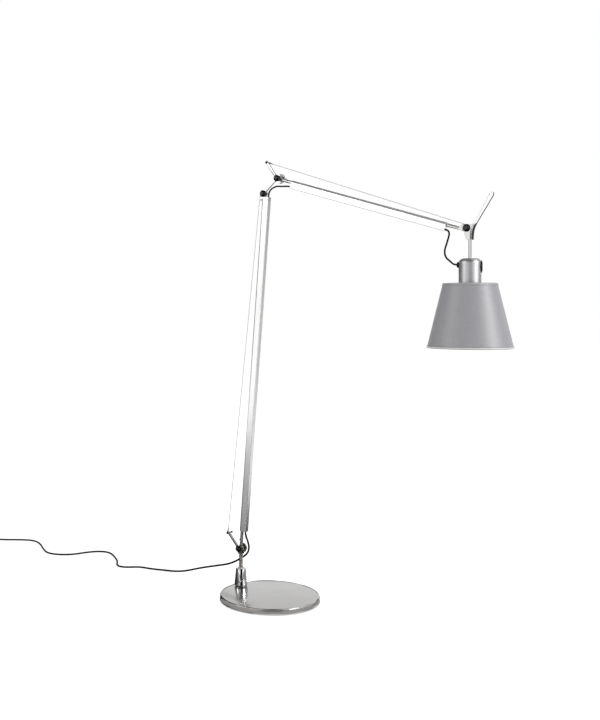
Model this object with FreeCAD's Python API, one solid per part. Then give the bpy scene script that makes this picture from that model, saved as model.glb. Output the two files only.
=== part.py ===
import FreeCAD, Part

import math
import os

from FreeCAD import Vector

# Reading floor lamp with two spring-balanced arms. Millimetres, +Z up.
# The origin is the middle of the foot. The arms lie in a plane parallel to XZ and reach towards +X.

# ---- foot ----
BASE_D = 230.0
BASE_TOP = 15.3
COVER_WALL = 1.5
COVER_EDGE_R = 1.6
SKIRT_Z = 2.0
WEIGHT_GAP = 0.4
WEIGHT_Z = 2.6
PAD_TO_SCREW = 1.6
PAD_WIDTH = 9.0
PAD_GROOVE = 0.6

# ---- stem and its socket ----
STEM_IN_FROM_EDGE = 21.8
STEM_X = STEM_IN_FROM_EDGE - BASE_D / 2
STEM_Y = 13.2
STEM_D = 8.9
STEM_BOTTOM_Z = 20.0
SOCKET_TOP_Z = 57.0
SOCKET_TOP_D = 22.6
SOCKET_D = 32.0
SOCKET_FOOT_D = 27.6
SOCKET_CHAMFER = 3.6
BUSH_WALL = 1.2
BUSH_FLANGE_D = 14.0
BUSH_FLANGE = 1.4
RUNNING_GAP = 0.05
SCREW_D = 6.0
SCREW_HEAD_D = 12.0
SCREW_HEAD = 3.2
FORK_LENGTH = 13.0
FORK_WIDTH = 9.6

# ---- pivots ----
LOWER_PIVOT_Z = 104.5
LOWER_ARM = 844.3
LOWER_LEAN = 4.82
ELBOW_LINK = 50.8
ELBOW_LEAN = 50.3
UPPER_ARM = 481.9
UPPER_LEAN = 107.2
UPPER_END_SHIFT = -4.3
UPPER_ROD_SHIFT = 0.9
PIN_D = 5.0
PIN_HEAD_D = 9.0
PIN_HEAD = 1.6

# ---- layers across a pivot, from the middle of the arm outwards ----
EYE_HALF = 3.0
LAYER_GAP = 0.3
CHEEK = 2.9
PLATE = 3.4
KNOB = 5.8
KNOB_D = 14.4
KNOB_ROUND = 2.4
KNOB_DIMPLE_D = 7.0
KNOB_DIMPLE = 1.0
KNOB_SCREW_D = 4.6
KNOB_HUB_D = 9.0
HUB_DISC_D = 22.6
HUB_DISC = 3.6
HUB_SPACER_D = 12.0

# ---- arm section ----
PROFILE_DEPTH = 18.5
PROFILE_WIDTH = 13.0
PROFILE_ROUND_OUTER = 5.2
PROFILE_ROUND_INNER = 1.5
PROFILE_OUTER = 4.95
SPRING_BORE_D = 8.0
ROD_D = 7.6
ROD_IN_BORE = 30.0
LEAD_CHANNEL_D = 4.8
LEAD_CHANNEL_AT = 9.9
EYE_R = 7.0
LEAD_OUT = 1.2
LOWER_START_GAP = 42.7
LOWER_END_GAP = 7.7
UPPER_START_GAP = 40.0
UPPER_END_GAP = 46.4

# ---- springs and wires ----
SPRING_D = 7.4
SPRING_WALL = 1.2
LOWER_SPRING = 360.0
UPPER_SPRING = 190.0
HOOK_D = 3.0
HOOK_LENGTH = 8.0
WIRE_D = 1.4
LOWER_PULLEY_R = 6.6
UPPER_PULLEY_R = 5.2
PULLEY_FLANGE = 0.9
PULLEY_WIDTH = 3.0
LOWER_PULLEY_OUT = 7.3
UPPER_PULLEY_OUT = 5.7
PULLEY_DOWN = 9.4
PULLEY_Y = -1.3
PULLEY_AXLE_D = 2.0
PULLEY_EAR = 3.4
BLOCK_DOWN = 17.2
EYE_BLOCK_GAP = 9.2
GRUB_D = 3.4
GRUB_UP = 20.0

# ---- balance levers ----
LEVER_WIDTH = 7.0
LOWER_LEVER_LEAN = -42.4
UPPER_LEVER_LEAN = -36.3
LOWER_LEVER = 48.4
UPPER_LEVER = 51.6
CROSS_PIN_IN = 3.0
CROSS_PIN_D = 2.6
CROSS_PIN_FAR = 5.0
CROSS_CAP_D = 5.4
CROSS_CAP = 2.8
CROSS_NUT_D = 4.6
CROSS_NUT = 3.0
WIRE_EYE_D = 5.4
WIRE_EYE = 2.4
FERRULE_D = 3.0
FERRULE_AT = 4.5
FERRULE = 6.0

# ---- head ----
HANGER_X = 3.4
HANGER_D = 6.4
HANGER_LENGTH = 61.3
BRACKET_R = 8.0
BRACKET_X = 7.2
BRACKET_FOOT = 23.5
BRACKET_FOOT_X = -1.0
BRACKET_BRIDGE = 11.6
BRACKET_BRIDGE_HALF = 4.3
STRIP = 1.8
STRIP_WIDTH = 11.0
PADDLE_ANGLE = 59.0
PADDLE_LENGTH = 66.0
PADDLE_END_WIDTH = 19.0
PADDLE_BEND_R = 49.8
PADDLE_BEND_UP = -16.0
HANDLE_SCREWS_Z = (-21.4, -17.7)

# ---- lamp holder ----
HOLDER_TURN = 20.0
HOLDER_D = 44.4
HOLDER_WALL = 1.6
HOLDER_LENGTH = 68.0
HOLDER_SHOULDER = 9.0
HANGER_INSIDE = 7.0
HANGER_NUT_D = 12.0
HANGER_NUT = 4.0
GLAND_D = 12.0
GLAND = 3.4
GLAND_SHANK_D = 8.0
GLAND_DOWN = 12.6
SWITCH_DOWN = 16.6
SWITCH_TALL = 21.4
SWITCH_WIDE = 14.0
SWITCH_RIM = 1.6
SWITCH_PROUD = 2.0
SWITCH_RIM_PROUD = 1.1
SWITCH_TRAVEL = 1.2
SWITCH_ROUND = 2.2
SLEEVE_D = 40.9
SLEEVE_BORE_D = 27.4
SLEEVE_LENGTH = 34.0
SLEEVE_DROP = 14.0
SLEEVE_FLOOR = 4.0

# ---- bulb ----
BULB_D = 60.0
BULB_NECK_D = 30.0
BULB_CAP_D = 26.4
BULB_CAP = 25.0
BULB_LENGTH = 84.0
BULB_WALL = 1.2
BULB_FLARE = 26.0
THREAD_TO = 6.0
THREAD_LENGTH = 20.0

# ---- shade ----
SHADE_DROP = 50.0
SHADE_TOP_D = 109.5
SHADE_BOTTOM_D = 174.2
SHADE_HEIGHT = 130.0
SHADE_WALL = 1.0
RING_WIRE_D = 2.6
RISER_GAP = 0.4
SPIDER_PLATE = 2.0
SPIDER_ARM_WIDTH = 6.0
CLAMP_RING_D = 49.0
CLAMP_RING = 8.0

# ---- leads ----
MAINS_D = 4.6
LEAD_D = 3.8
SHARE_OF_RUN = 0.45
# lead loop from the arm's channel to the stem, measured from the stem's foot
LOOP_ROUTE = [(19.6, 1.4, 123.0), (21.6, 3.6, 108.6)]
# the stretch that passes behind the stem
TURN_ROUTE = [(15.0, 8.0, 95.4), (4.0, 12.6, 85.4)]
# mains cord from there to the floor, measured from the stem's foot
FALL_ROUTE = [
    (-11.0, 13.4, 75.4), (-27.0, 13.4, 65.4), (-50.0, 13.0, 54.8), (-88.0, 12.0, 44.6),
    (-138.0, 12.4, 30.4), (-186.0, 14.6, 14.0), (-226.0, 19.6, 5.0),
]
# mains cord on the floor, measured from the middle of the foot
FLOOR_ROUTE = [
    (-352.0, 33.0), (-388.0, 19.0), (-424.0, 16.0), (-452.0, -15.0), (-480.0, -15.0),
    (-508.0, 19.0), (-552.0, 50.0), (-590.0, 71.0), (-620.0, 62.0), (-640.0, 30.0),
    (-650.0, -10.0), (-682.0, -38.0), (-718.0, -44.0), (-758.0, -22.0), (-812.0, 14.0),
    (-852.0, 28.0), (-888.0, 12.0), (-930.0, -24.0), (-970.0, -39.0),
    (-997.0, -41.5),
]
# lead's bends at the elbow, measured from its lower and upper pivots
ELBOW_LEAD_RISE = [(15.6, 0.0, 9.4)]
ELBOW_LEAD_OVER = [(-8.6, 0.0, -17.0), (7.0, 0.0, -18.6)]
LEAD_STRAIGHT = 8.0
# lead's bends at the head, measured from the head pivot
HEAD_LEAD_DROP = [(-44.4, -1.6, -25.6), (-50.2, -3.6, -44.0)]
HEAD_LEAD_SWEEP = [(-47.0, -4.8, -57.6), (-35.6, -6.4, -66.4)]
HEAD_LEAD_STRAIGHT = 9.0
COIL_X = -1008.0
COIL_Y = -77.0
COIL_MEAN_D = 56.0
COIL_BAND = 20.0
COIL_HEIGHT = 9.8
TAIL_ROUTE = [(-1045.6, -98.0, 7.3), (-1046.19, -114.06, 8.1)]
PLUG_AT = (-1048.0, -140.0, 8.1)
PLUG_TURN = 266.0
PLUG_LENGTH = 36.0
PLUG_WIDTH = 26.0
PLUG_TALL = 16.0
PLUG_PIN_D = 4.0
PLUG_PIN = 19.0
PLUG_PIN_SPACING = 19.0
PLUG_RELIEF_D = 8.0
PLUG_RELIEF = 14.0

X = Vector(1, 0, 0)
Y = Vector(0, 1, 0)
Z = Vector(0, 0, 1)
STEM_FOOT = Vector(STEM_X, STEM_Y, 0)
QUARTER = 90

PLATE_BACK = EYE_HALF + LAYER_GAP + CHEEK
PLATE_FRONT = PLATE_BACK + PLATE
KNOB_BACK = PLATE_FRONT + LAYER_GAP
KNOB_FRONT = KNOB_BACK + KNOB
HUB_NEAR = EYE_HALF + LAYER_GAP + CHEEK + LAYER_GAP
# the lower wire's eye lies outside its lever, the upper one beside the far nut
LOWER_EYE_Y = -PLATE_FRONT - LAYER_GAP - WIRE_EYE
UPPER_EYE_Y = CROSS_PIN_FAR - CROSS_NUT - LAYER_GAP - WIRE_EYE


def lean(length, angle):
    """Point at a distance along a direction that leans by an angle from +Z towards +X."""
    a = math.radians(angle)
    return Vector(length * math.sin(a), 0, length * math.cos(a))


def across(length, angle):
    """Point at a distance square to that direction, on its inner side."""
    a = math.radians(angle)
    return Vector(length * math.cos(a), 0, -length * math.sin(a))


LOWER_PIVOT = STEM_FOOT + Vector(0, 0, LOWER_PIVOT_Z)
ELBOW_LOW = LOWER_PIVOT + lean(LOWER_ARM, LOWER_LEAN)
ELBOW_HIGH = ELBOW_LOW + lean(ELBOW_LINK, ELBOW_LEAN)
HEAD_PIVOT = ELBOW_HIGH + lean(UPPER_ARM, UPPER_LEAN) + across(UPPER_END_SHIFT, UPPER_LEAN)
HANGER_TOP = HEAD_PIVOT + Vector(HANGER_X, 0, 0)
HOLDER_TOP = HANGER_TOP - Vector(0, 0, HANGER_LENGTH)

nodes = {}


def keep(name, *shapes):
    """Store one node, made of one solid or of several that stay separate."""
    solids = [s for shape in shapes for s in shape.removeSplitter().Solids]
    nodes[name] = solids[0] if len(solids) == 1 else Part.makeCompound(solids)


def box(x0, x1, y0, y1, z0, z1):
    return Part.makeBox(x1 - x0, y1 - y0, z1 - z0, Vector(x0, y0, z0))


def rod(start, end, radius):
    way = end - start
    return Part.makeCylinder(radius, way.Length, start, way)


def disc(centre, y0, y1, radius):
    """Round plate square to Y, between two depths from the arm's middle plane."""
    return Part.makeCylinder(radius, y1 - y0, centre + Vector(0, y0, 0), Y)


def turned(outline, centre=Vector(), axis=Z):
    """Solid of revolution; the outline is (radius, height) points, some given as (through, end) arcs."""
    edges = []
    here = Vector(outline[0][0], 0, outline[0][1])
    for step in outline[1:] + outline[:1]:
        if isinstance(step[0], tuple):
            through, end = [Vector(r, 0, h) for r, h in step]
            edges.append(Part.Arc(here, through, end).toShape())
        else:
            end = Vector(step[0], 0, step[1])
            if (end - here).Length > 1e-6:
                edges.append(Part.LineSegment(here, end).toShape())
        here = end
    shape = Part.Face(Part.Wire(edges)).revolve(Vector(), Z, 360)
    shape = Part.makeSolid(shape) if not shape.Solids else shape.Solids[0]
    turn = FreeCAD.Rotation(Z, axis)
    shape.Placement = FreeCAD.Placement(centre, turn)
    return shape


def profile_section(outer, inner, z):
    """Arm profile in a plane square to Z, its outer side rounder than its inner side."""
    half = PROFILE_WIDTH / 2
    plate = box(outer, inner, -half, half, z, z + 1)
    for x, radius in ((outer, PROFILE_ROUND_OUTER), (inner, PROFILE_ROUND_INNER)):
        upright = [e for e in plate.Edges if abs(e.Vertexes[0].Z - e.Vertexes[1].Z) > 0.5
                   and abs(e.Vertexes[0].X - x) < 1e-6 and abs(e.Vertexes[1].X - x) < 1e-6]
        plate = plate.makeFillet(radius, upright)
    return [f for f in plate.Faces if abs(f.CenterOfMass.z - z) < 1e-6][0]


def route_wire(points, name):
    """Straight runs joined by tangent arcs, each as large as its two runs allow."""
    points = [Vector(*p) for p in points]
    edges = []
    last = points[0]
    radii = []
    for before, corner, after in zip(points, points[1:], points[2:]):
        back = before - corner
        on = after - corner
        half_turn = (math.pi - back.getAngle(on)) / 2
        reach = SHARE_OF_RUN * min(back.Length, on.Length)
        radius = reach / math.tan(half_turn)
        radii.append(radius)
        start = corner + back.normalize() * reach
        end = corner + on.normalize() * reach
        inward = (back + on).normalize()
        middle = corner + inward * (radius / math.cos(half_turn) - radius)
        edges.append(Part.LineSegment(last, start).toShape())
        edges.append(Part.Arc(start, middle, end).toShape())
        last = end
    edges.append(Part.LineSegment(last, points[-1]).toShape())
    wire = Part.Wire(edges)
    print(name, "length", round(wire.Length, 1), "radii", [round(r) for r in radii])
    return wire


def tube(points, diameter, name):
    """Round cord along a route."""
    wire = route_wire(points, name)
    first = Vector(*points[0])
    heading = Vector(*points[1]) - first
    circle = Part.Wire(Part.Circle(first, heading, diameter / 2).toShape())
    shape = wire.makePipeShell([circle], True, False)
    solid = Part.makeSolid(shape) if not shape.Solids else shape.Solids[0]
    expected = math.pi * diameter**2 / 4 * wire.Length
    print(name, "volume over section times length", round(solid.Volume / expected, 4))
    return solid


def from_stem(points):
    return [tuple(STEM_FOOT + Vector(*p)) for p in points]


# ---------------------------------------------------------------- foot


def make_foot():
    r = BASE_D / 2
    e = COVER_EDGE_R
    bend = e * (1 - math.sqrt(0.5))
    socket_at = STEM_FOOT + Vector(0, 0, BASE_TOP)
    screw_hole = rod(STEM_FOOT, STEM_FOOT + Vector(0, 0, BASE_TOP + 1), SCREW_D / 2 + 0.2)
    cover = turned([
        (0, BASE_TOP), (r - e, BASE_TOP), ((r - bend, BASE_TOP - bend), (r, BASE_TOP - e)),
        (r, SKIRT_Z), (r - COVER_WALL, SKIRT_Z), (r - COVER_WALL, BASE_TOP - COVER_WALL),
        (0, BASE_TOP - COVER_WALL),
    ])
    keep("base_cover", cover.cut(screw_hole))

    weight_r = r - COVER_WALL - WEIGHT_GAP
    weight_top = BASE_TOP - COVER_WALL
    weight = Part.makeCylinder(weight_r, weight_top - WEIGHT_Z, Vector(0, 0, WEIGHT_Z))
    pad_r = math.hypot(STEM_X, STEM_Y) - SCREW_HEAD_D / 2 - PAD_TO_SCREW
    groove_top = WEIGHT_Z + PAD_GROOVE
    groove = Part.makeCylinder(pad_r + 0.1, PAD_GROOVE, Vector(0, 0, WEIGHT_Z))
    groove = groove.cut(Part.makeCylinder(pad_r - PAD_WIDTH - 0.1, PAD_GROOVE, Vector(0, 0, WEIGHT_Z)))
    counterbore = rod(STEM_FOOT, STEM_FOOT + Vector(0, 0, WEIGHT_Z + SCREW_HEAD), SCREW_HEAD_D / 2 + 0.5)
    keep("base_weight", weight.cut(groove).cut(screw_hole).cut(counterbore))

    pad = Part.makeCylinder(pad_r, groove_top).cut(Part.makeCylinder(pad_r - PAD_WIDTH, groove_top))
    keep("foot_pad", pad)

    head_z = WEIGHT_Z + SCREW_HEAD
    screw = rod(STEM_FOOT + Vector(0, 0, WEIGHT_Z + 0.2), STEM_FOOT + Vector(0, 0, head_z), SCREW_HEAD_D / 2)
    hexagon = Part.makePolygon([STEM_FOOT + Vector(2.3 * math.cos(a), 2.3 * math.sin(a), WEIGHT_Z)
                                for a in [math.radians(60 * k) for k in range(7)]])
    shank = rod(STEM_FOOT + Vector(0, 0, head_z), STEM_FOOT + Vector(0, 0, STEM_BOTTOM_Z - 1.0), SCREW_D / 2)
    screw = screw.fuse(shank).cut(Part.Face(hexagon).extrude(Vector(0, 0, 2.2)))
    keep("socket_screw", screw)

    bush_r = STEM_D / 2 + BUSH_WALL
    cone_bottom = BASE_TOP
    outline = [
        (0, cone_bottom), (SOCKET_FOOT_D / 2, cone_bottom),
        (SOCKET_D / 2, cone_bottom + SOCKET_CHAMFER),
        (SOCKET_TOP_D / 2 + 0.3, SOCKET_TOP_Z - 1.0), (SOCKET_TOP_D / 2 - 0.7, SOCKET_TOP_Z),
        (0, SOCKET_TOP_Z),
    ]
    cone = turned(outline, STEM_FOOT)
    above = STEM_FOOT + Vector(0, 0, SOCKET_TOP_Z + BUSH_FLANGE + 1)
    cone = cone.cut(rod(STEM_FOOT + Vector(0, 0, STEM_BOTTOM_Z), above, bush_r))
    cone = cone.cut(rod(socket_at, STEM_FOOT + Vector(0, 0, STEM_BOTTOM_Z + 1), SCREW_D / 2))
    keep("stem_socket", cone)

    bush = rod(STEM_FOOT + Vector(0, 0, STEM_BOTTOM_Z), STEM_FOOT + Vector(0, 0, SOCKET_TOP_Z), bush_r)
    flange = rod(STEM_FOOT + Vector(0, 0, SOCKET_TOP_Z),
                 STEM_FOOT + Vector(0, 0, SOCKET_TOP_Z + BUSH_FLANGE), BUSH_FLANGE_D / 2)
    bore = rod(STEM_FOOT, above, STEM_D / 2 + RUNNING_GAP)
    keep("stem_bush", bush.fuse(flange).cut(bore))


# ---------------------------------------------------------------- shared pivot pieces


def make_knob(name, pivot):
    """Domed friction knob with a steel screw set in its face; it turns on the pivot's own axis."""
    r = KNOB_D / 2
    q = KNOB_ROUND
    bend = q * (1 - math.sqrt(0.5))
    outline = [
        (0, 0), (r - 1.0, 0), (r, 1.0), (r, KNOB - q), ((r - bend, KNOB - bend), (r - q, KNOB)),
        (KNOB_DIMPLE_D / 2, KNOB), (KNOB_DIMPLE_D / 2 - 0.4, KNOB - KNOB_DIMPLE), (0, KNOB - KNOB_DIMPLE),
    ]
    knob = turned(outline, pivot - Vector(0, KNOB_BACK, 0), Vector(0, -1, 0))
    bore = disc(pivot, -KNOB_FRONT, -KNOB_BACK, KNOB_SCREW_D / 2)
    screw_y = -(KNOB_FRONT - KNOB_DIMPLE)
    screw = disc(pivot, screw_y, -KNOB_BACK, KNOB_SCREW_D / 2)
    slot = box(-KNOB_SCREW_D, KNOB_SCREW_D, screw_y - 0.1, screw_y + 0.9, -0.5, 0.5)
    slot.translate(Vector(pivot.x, pivot.y, pivot.z))
    keep(name, knob.cut(bore), screw.cut(slot))


def pivot_pin(pivot, y_far):
    """Pin that starts just under the knob and ends in a head on the far side."""
    pin = disc(pivot, -PLATE_FRONT, y_far, PIN_D / 2 - RUNNING_GAP)
    return pin.fuse(disc(pivot, y_far, y_far + PIN_HEAD, PIN_HEAD_D / 2))


def pin_hole(pivot):
    return disc(pivot, -KNOB_FRONT, KNOB_FRONT, PIN_D / 2)


def hub_disc(pivot, near):
    """Silver friction disc on the far side of an arm, with a raised middle."""
    r = HUB_DISC_D / 2
    outline = [
        (0, 0), (r - 0.8, 0), (r, 0.8), (r, HUB_DISC - 0.9), (r - 0.9, HUB_DISC),
        (r - 2.6, HUB_DISC), (r - 3.2, HUB_DISC - 0.6), (0, HUB_DISC - 0.6),
    ]
    plate = turned(outline, pivot + Vector(0, near, 0), Y)
    return plate.cut(disc(pivot, near - 1, near + HUB_DISC + 1, PIN_D / 2))


def lever_bar(pivot, length, angle):
    """Flat bar with a round end that holds the balance wire out from the arm."""
    tip = pivot + lean(length, angle)
    half = LEVER_WIDTH / 2
    bar = box(-half, half, -PLATE_FRONT, -PLATE_BACK, 0, length)
    bar.rotate(Vector(), Y, angle)
    bar.translate(pivot)
    return bar.fuse(disc(tip, -PLATE_FRONT, -PLATE_BACK, half))


def make_cross_pin(prefix, pivot, length, angle, near):
    """Pin through the lever's end, with a cap towards the knobs and a nut on the far side."""
    at = pivot + lean(length - CROSS_PIN_IN, angle)
    pin = disc(at, near, CROSS_PIN_FAR, CROSS_PIN_D / 2)
    nut = disc(at, CROSS_PIN_FAR - CROSS_NUT, CROSS_PIN_FAR, CROSS_NUT_D / 2)
    cap_r = CROSS_CAP_D / 2
    cap = turned([(0, 0), (cap_r, 0), (cap_r, CROSS_CAP - 1.0), (cap_r - 1.0, CROSS_CAP), (0, CROSS_CAP)],
                 at + Vector(0, near, 0), Vector(0, -1, 0))
    keep(prefix + "_cross_pin", pin.fuse(nut), cap)
    return disc(at, -PLATE_FRONT - 1, -PLATE_BACK + 1, CROSS_PIN_D / 2)


def pulley_centre(pivot, angle, rod_shift, end_shift, pulley_out):
    """Middle of the wire's pulley at an arm's far end."""
    return pivot + lean(-PULLEY_DOWN, angle) + across(rod_shift - end_shift - pulley_out, angle)


def make_wire(name, lever_pivot, length, angle, y0, centre, pulley_r):
    """Balance wire, straight from its eye on the lever's cross pin to the outer side of the pulley."""
    at = lever_pivot + lean(length - CROSS_PIN_IN, angle)
    start = at + Vector(0, y0 + WIRE_EYE / 2, 0)
    hub = centre + Vector(0, PULLEY_Y, 0)
    span = Vector(hub.x - start.x, 0, hub.z - start.z)
    tilt = math.degrees(math.atan2(span.x, span.z) - math.asin(pulley_r / span.Length))
    touch = hub - across(pulley_r, tilt)
    heading = (touch - start).normalize()
    ferrule = rod(start + heading * FERRULE_AT, start + heading * (FERRULE_AT + FERRULE), FERRULE_D / 2)
    wire = rod(start, touch, WIRE_D / 2).fuse([ferrule, disc(at, y0, y0 + WIRE_EYE, WIRE_EYE_D / 2)])
    keep(name, wire.cut(disc(at, -KNOB_FRONT, CROSS_PIN_FAR, CROSS_PIN_D / 2 + RUNNING_GAP)))


# ---------------------------------------------------------------- stem


def make_stem():
    pivot = LOWER_PIVOT
    fork_z = pivot.z - FORK_LENGTH
    stem = rod(STEM_FOOT + Vector(0, 0, STEM_BOTTOM_Z), Vector(STEM_X, STEM_Y, fork_z + 2), STEM_D / 2)
    half = FORK_WIDTH / 2
    y_out = EYE_HALF + LAYER_GAP + CHEEK
    fork = box(-half, half, -y_out, y_out, fork_z, pivot.z)
    fork.translate(STEM_FOOT)
    fork = fork.fuse(disc(pivot, -y_out, y_out, half))
    gap = EYE_HALF + LAYER_GAP
    notch = box(-12, 12, -gap, gap, pivot.z - EYE_R - 1.5, pivot.z + 12)
    notch.translate(STEM_FOOT)
    stem = stem.fuse(fork).cut(notch).cut(pin_hole(pivot))
    keep("stem", stem)

    lever = lever_bar(pivot, LOWER_LEVER, LOWER_LEVER_LEAN)
    lever = lever.fuse(disc(pivot, -PLATE_FRONT, -PLATE_BACK, KNOB_HUB_D / 2))
    hole = make_cross_pin("lower", pivot, LOWER_LEVER, LOWER_LEVER_LEAN, LOWER_EYE_Y - LAYER_GAP)
    keep("lower_lever", lever.cut(hole).cut(pin_hole(pivot)))
    make_knob("lower_knob", pivot)


# ---------------------------------------------------------------- arms


def make_arm(prefix, pivot, angle, length, end_shift, rod_shift, start_gap, end_gap, spring, wide_block,
             pulley):
    """One arm, drawn upright with its lower pivot at the origin and its inner side towards +X."""

    def place(shape):
        shape.rotate(Vector(), Y, angle)
        shape.translate(pivot)
        return shape

    outer = rod_shift - PROFILE_OUTER
    inner = outer + PROFILE_DEPTH
    half = PROFILE_WIDTH / 2
    end = Vector(end_shift, 0, length)
    block_z = length - BLOCK_DOWN
    profile_top = min(length - end_gap, block_z)
    channel = Vector(rod_shift + LEAD_CHANNEL_AT, 0, 0)
    axis = Vector(rod_shift, 0, 0)

    section = profile_section(outer, inner, start_gap)
    profile = section.extrude(Vector(0, 0, profile_top - start_gap))
    bore = Part.makeCylinder(SPRING_BORE_D / 2, length, axis)
    lead_hole = Part.makeCylinder(LEAD_CHANNEL_D / 2, length, channel)
    keep(prefix + "_profile", place(profile.cut(bore).cut(lead_hole)))

    foot_end = start_gap + ROD_IN_BORE
    foot = Part.makeCylinder(ROD_D / 2, foot_end - 2, axis + Vector(0, 0, 2))
    foot = foot.fuse(disc(Vector(), -EYE_HALF, EYE_HALF, EYE_R)).cut(pin_hole(Vector()))
    trim = EYE_R + 2
    for side in (-1, 1):
        ys = sorted((side * EYE_HALF, side * PROFILE_WIDTH))
        flat = box(-trim, trim, ys[0], ys[1], -trim, EYE_R + 1)
        foot = foot.cut(flat)
    grub_x = rod_shift - ROD_D / 2
    grub_z = GRUB_UP
    grub = rod(Vector(grub_x - 2.2, 0, grub_z), Vector(grub_x + 2.2, 0, grub_z), GRUB_D / 2)
    foot = foot.cut(grub)
    keep(prefix + "_foot_rod", place(foot))

    # end fitting: tube in the bore, block that holds the pulley, eye on the far pivot
    pulley_r, pulley_out = pulley
    centre = Vector(rod_shift - pulley_out, 0, length - PULLEY_DOWN)
    tube_z = profile_top - ROD_IN_BORE
    fitting = Part.makeCylinder(ROD_D / 2, block_z - tube_z + 1, axis + Vector(0, 0, tube_z))
    if wide_block:
        section = profile_section(outer, inner, block_z)
        block = section.extrude(Vector(0, 0, length - end_gap - block_z))
        block_top = length - end_gap
    else:
        block_top = length - EYE_BLOCK_GAP
        block = box(centre.x, rod_shift + ROD_D / 2, -half + 0.6, half - 0.6, block_z, block_top)
    neck = box(min(end_shift, rod_shift) - 3, rod_shift + ROD_D / 2, -EYE_HALF, EYE_HALF,
               length - EYE_BLOCK_GAP - 1, length)
    eye = disc(end, -EYE_HALF, EYE_HALF, EYE_R)
    ear = box(centre.x - PULLEY_EAR, rod_shift, -half + 0.6, half - 0.6, centre.z - PULLEY_EAR, block_top)
    fitting = fitting.fuse([block, neck, eye, ear]).cut(pin_hole(end))
    room_r = pulley_r + PULLEY_FLANGE + 0.4
    slot_half = PULLEY_WIDTH / 2 + 0.3
    fitting = fitting.cut(disc(centre, PULLEY_Y - slot_half, PULLEY_Y + slot_half, room_r))
    wire_in = centre + Vector(pulley_r, PULLEY_Y, 0)
    spring_top = foot_end + HOOK_LENGTH + spring
    wire_end = Vector(rod_shift, 0, min(spring_top + HOOK_LENGTH, tube_z - 12))
    fitting = fitting.cut(rod(wire_end, wire_in, WIRE_D / 2 + 0.5))
    fitting = fitting.cut(Part.makeCylinder(1.6, 30, axis + Vector(0, 0, tube_z)))
    axle_hole = disc(centre, -half, half, PULLEY_AXLE_D / 2)
    fitting = fitting.cut(axle_hole)
    if wide_block:
        fitting = fitting.cut(Part.makeCylinder(LEAD_CHANNEL_D / 2, length, channel))
    keep(prefix + "_end_fitting", place(fitting))
    axle_half = half - 0.6
    axle = disc(centre, -axle_half, axle_half, PULLEY_AXLE_D / 2)
    keep(prefix + "_arm_pins", place(grub), place(axle))

    flange_r = pulley_r + PULLEY_FLANGE
    half_w = PULLEY_WIDTH / 2
    wheel = turned([
        (PULLEY_AXLE_D / 2 + RUNNING_GAP, -half_w), (flange_r, -half_w), (flange_r, -half_w + 0.4),
        (pulley_r - WIRE_D / 2 - 0.1, -0.45), (pulley_r - WIRE_D / 2 - 0.1, 0.45),
        (flange_r, half_w - 0.4), (flange_r, half_w), (PULLEY_AXLE_D / 2 + RUNNING_GAP, half_w),
    ], centre + Vector(0, PULLEY_Y, 0), Y)
    keep(prefix + "_pulley", place(wheel))

    # spring envelope with its two hooks, and the wire from it to the pulley
    spring_z = foot_end + HOOK_LENGTH
    coils = Part.makeCylinder(SPRING_D / 2, spring, axis + Vector(0, 0, spring_z))
    coils = coils.cut(Part.makeCylinder(SPRING_D / 2 - SPRING_WALL, spring, axis + Vector(0, 0, spring_z)))
    hooks = []
    for z0 in (foot_end, spring_z + spring):
        hooks.append(Part.makeCylinder(HOOK_D / 2, HOOK_LENGTH, axis + Vector(0, 0, z0)))
    ends = []
    for z0 in (spring_z, spring_z + spring - 2.0):
        ends.append(Part.makeCylinder(SPRING_D / 2 - SPRING_WALL / 2, 2.0, axis + Vector(0, 0, z0)))
    coils = coils.fuse(hooks + ends)

    run = []
    if wire_end.z > spring_top + HOOK_LENGTH + 1:
        run.append(rod(Vector(rod_shift, 0, spring_top + HOOK_LENGTH), wire_end, WIRE_D / 2))
        run.append(Part.makeSphere(WIRE_D / 2, wire_end))
    run.append(rod(wire_end, wire_in, WIRE_D / 2))
    wire = run[0].fuse(run[1:]) if run[1:] else run[0]
    keep(prefix + "_spring", place(coils), place(wire))

    lead_end = length - end_gap + LEAD_OUT
    lead = Part.makeCylinder(LEAD_D / 2, lead_end - start_gap, channel + Vector(0, 0, start_gap))
    keep(prefix + "_lead", place(lead))
    return channel, lead_end


def lead_mouths(pivot, angle, channel, start_gap, top):
    """Where the lead enters and leaves an arm's channel."""
    low = pivot + across(channel.x, angle) + lean(start_gap, angle)
    high = pivot + across(channel.x, angle) + lean(top, angle)
    return low, high


def make_pivot_pins():
    far = HUB_NEAR + HUB_DISC - 0.6
    keep("lower_pivot_pin", pivot_pin(LOWER_PIVOT, far), hub_disc(LOWER_PIVOT, HUB_NEAR))
    keep("elbow_pins", pivot_pin(ELBOW_LOW, EYE_HALF + LAYER_GAP), pivot_pin(ELBOW_HIGH, far),
         hub_disc(ELBOW_HIGH, HUB_NEAR))
    keep("head_pivot_pin", pivot_pin(HEAD_PIVOT, PLATE_BACK))


# ---------------------------------------------------------------- elbow


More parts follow.
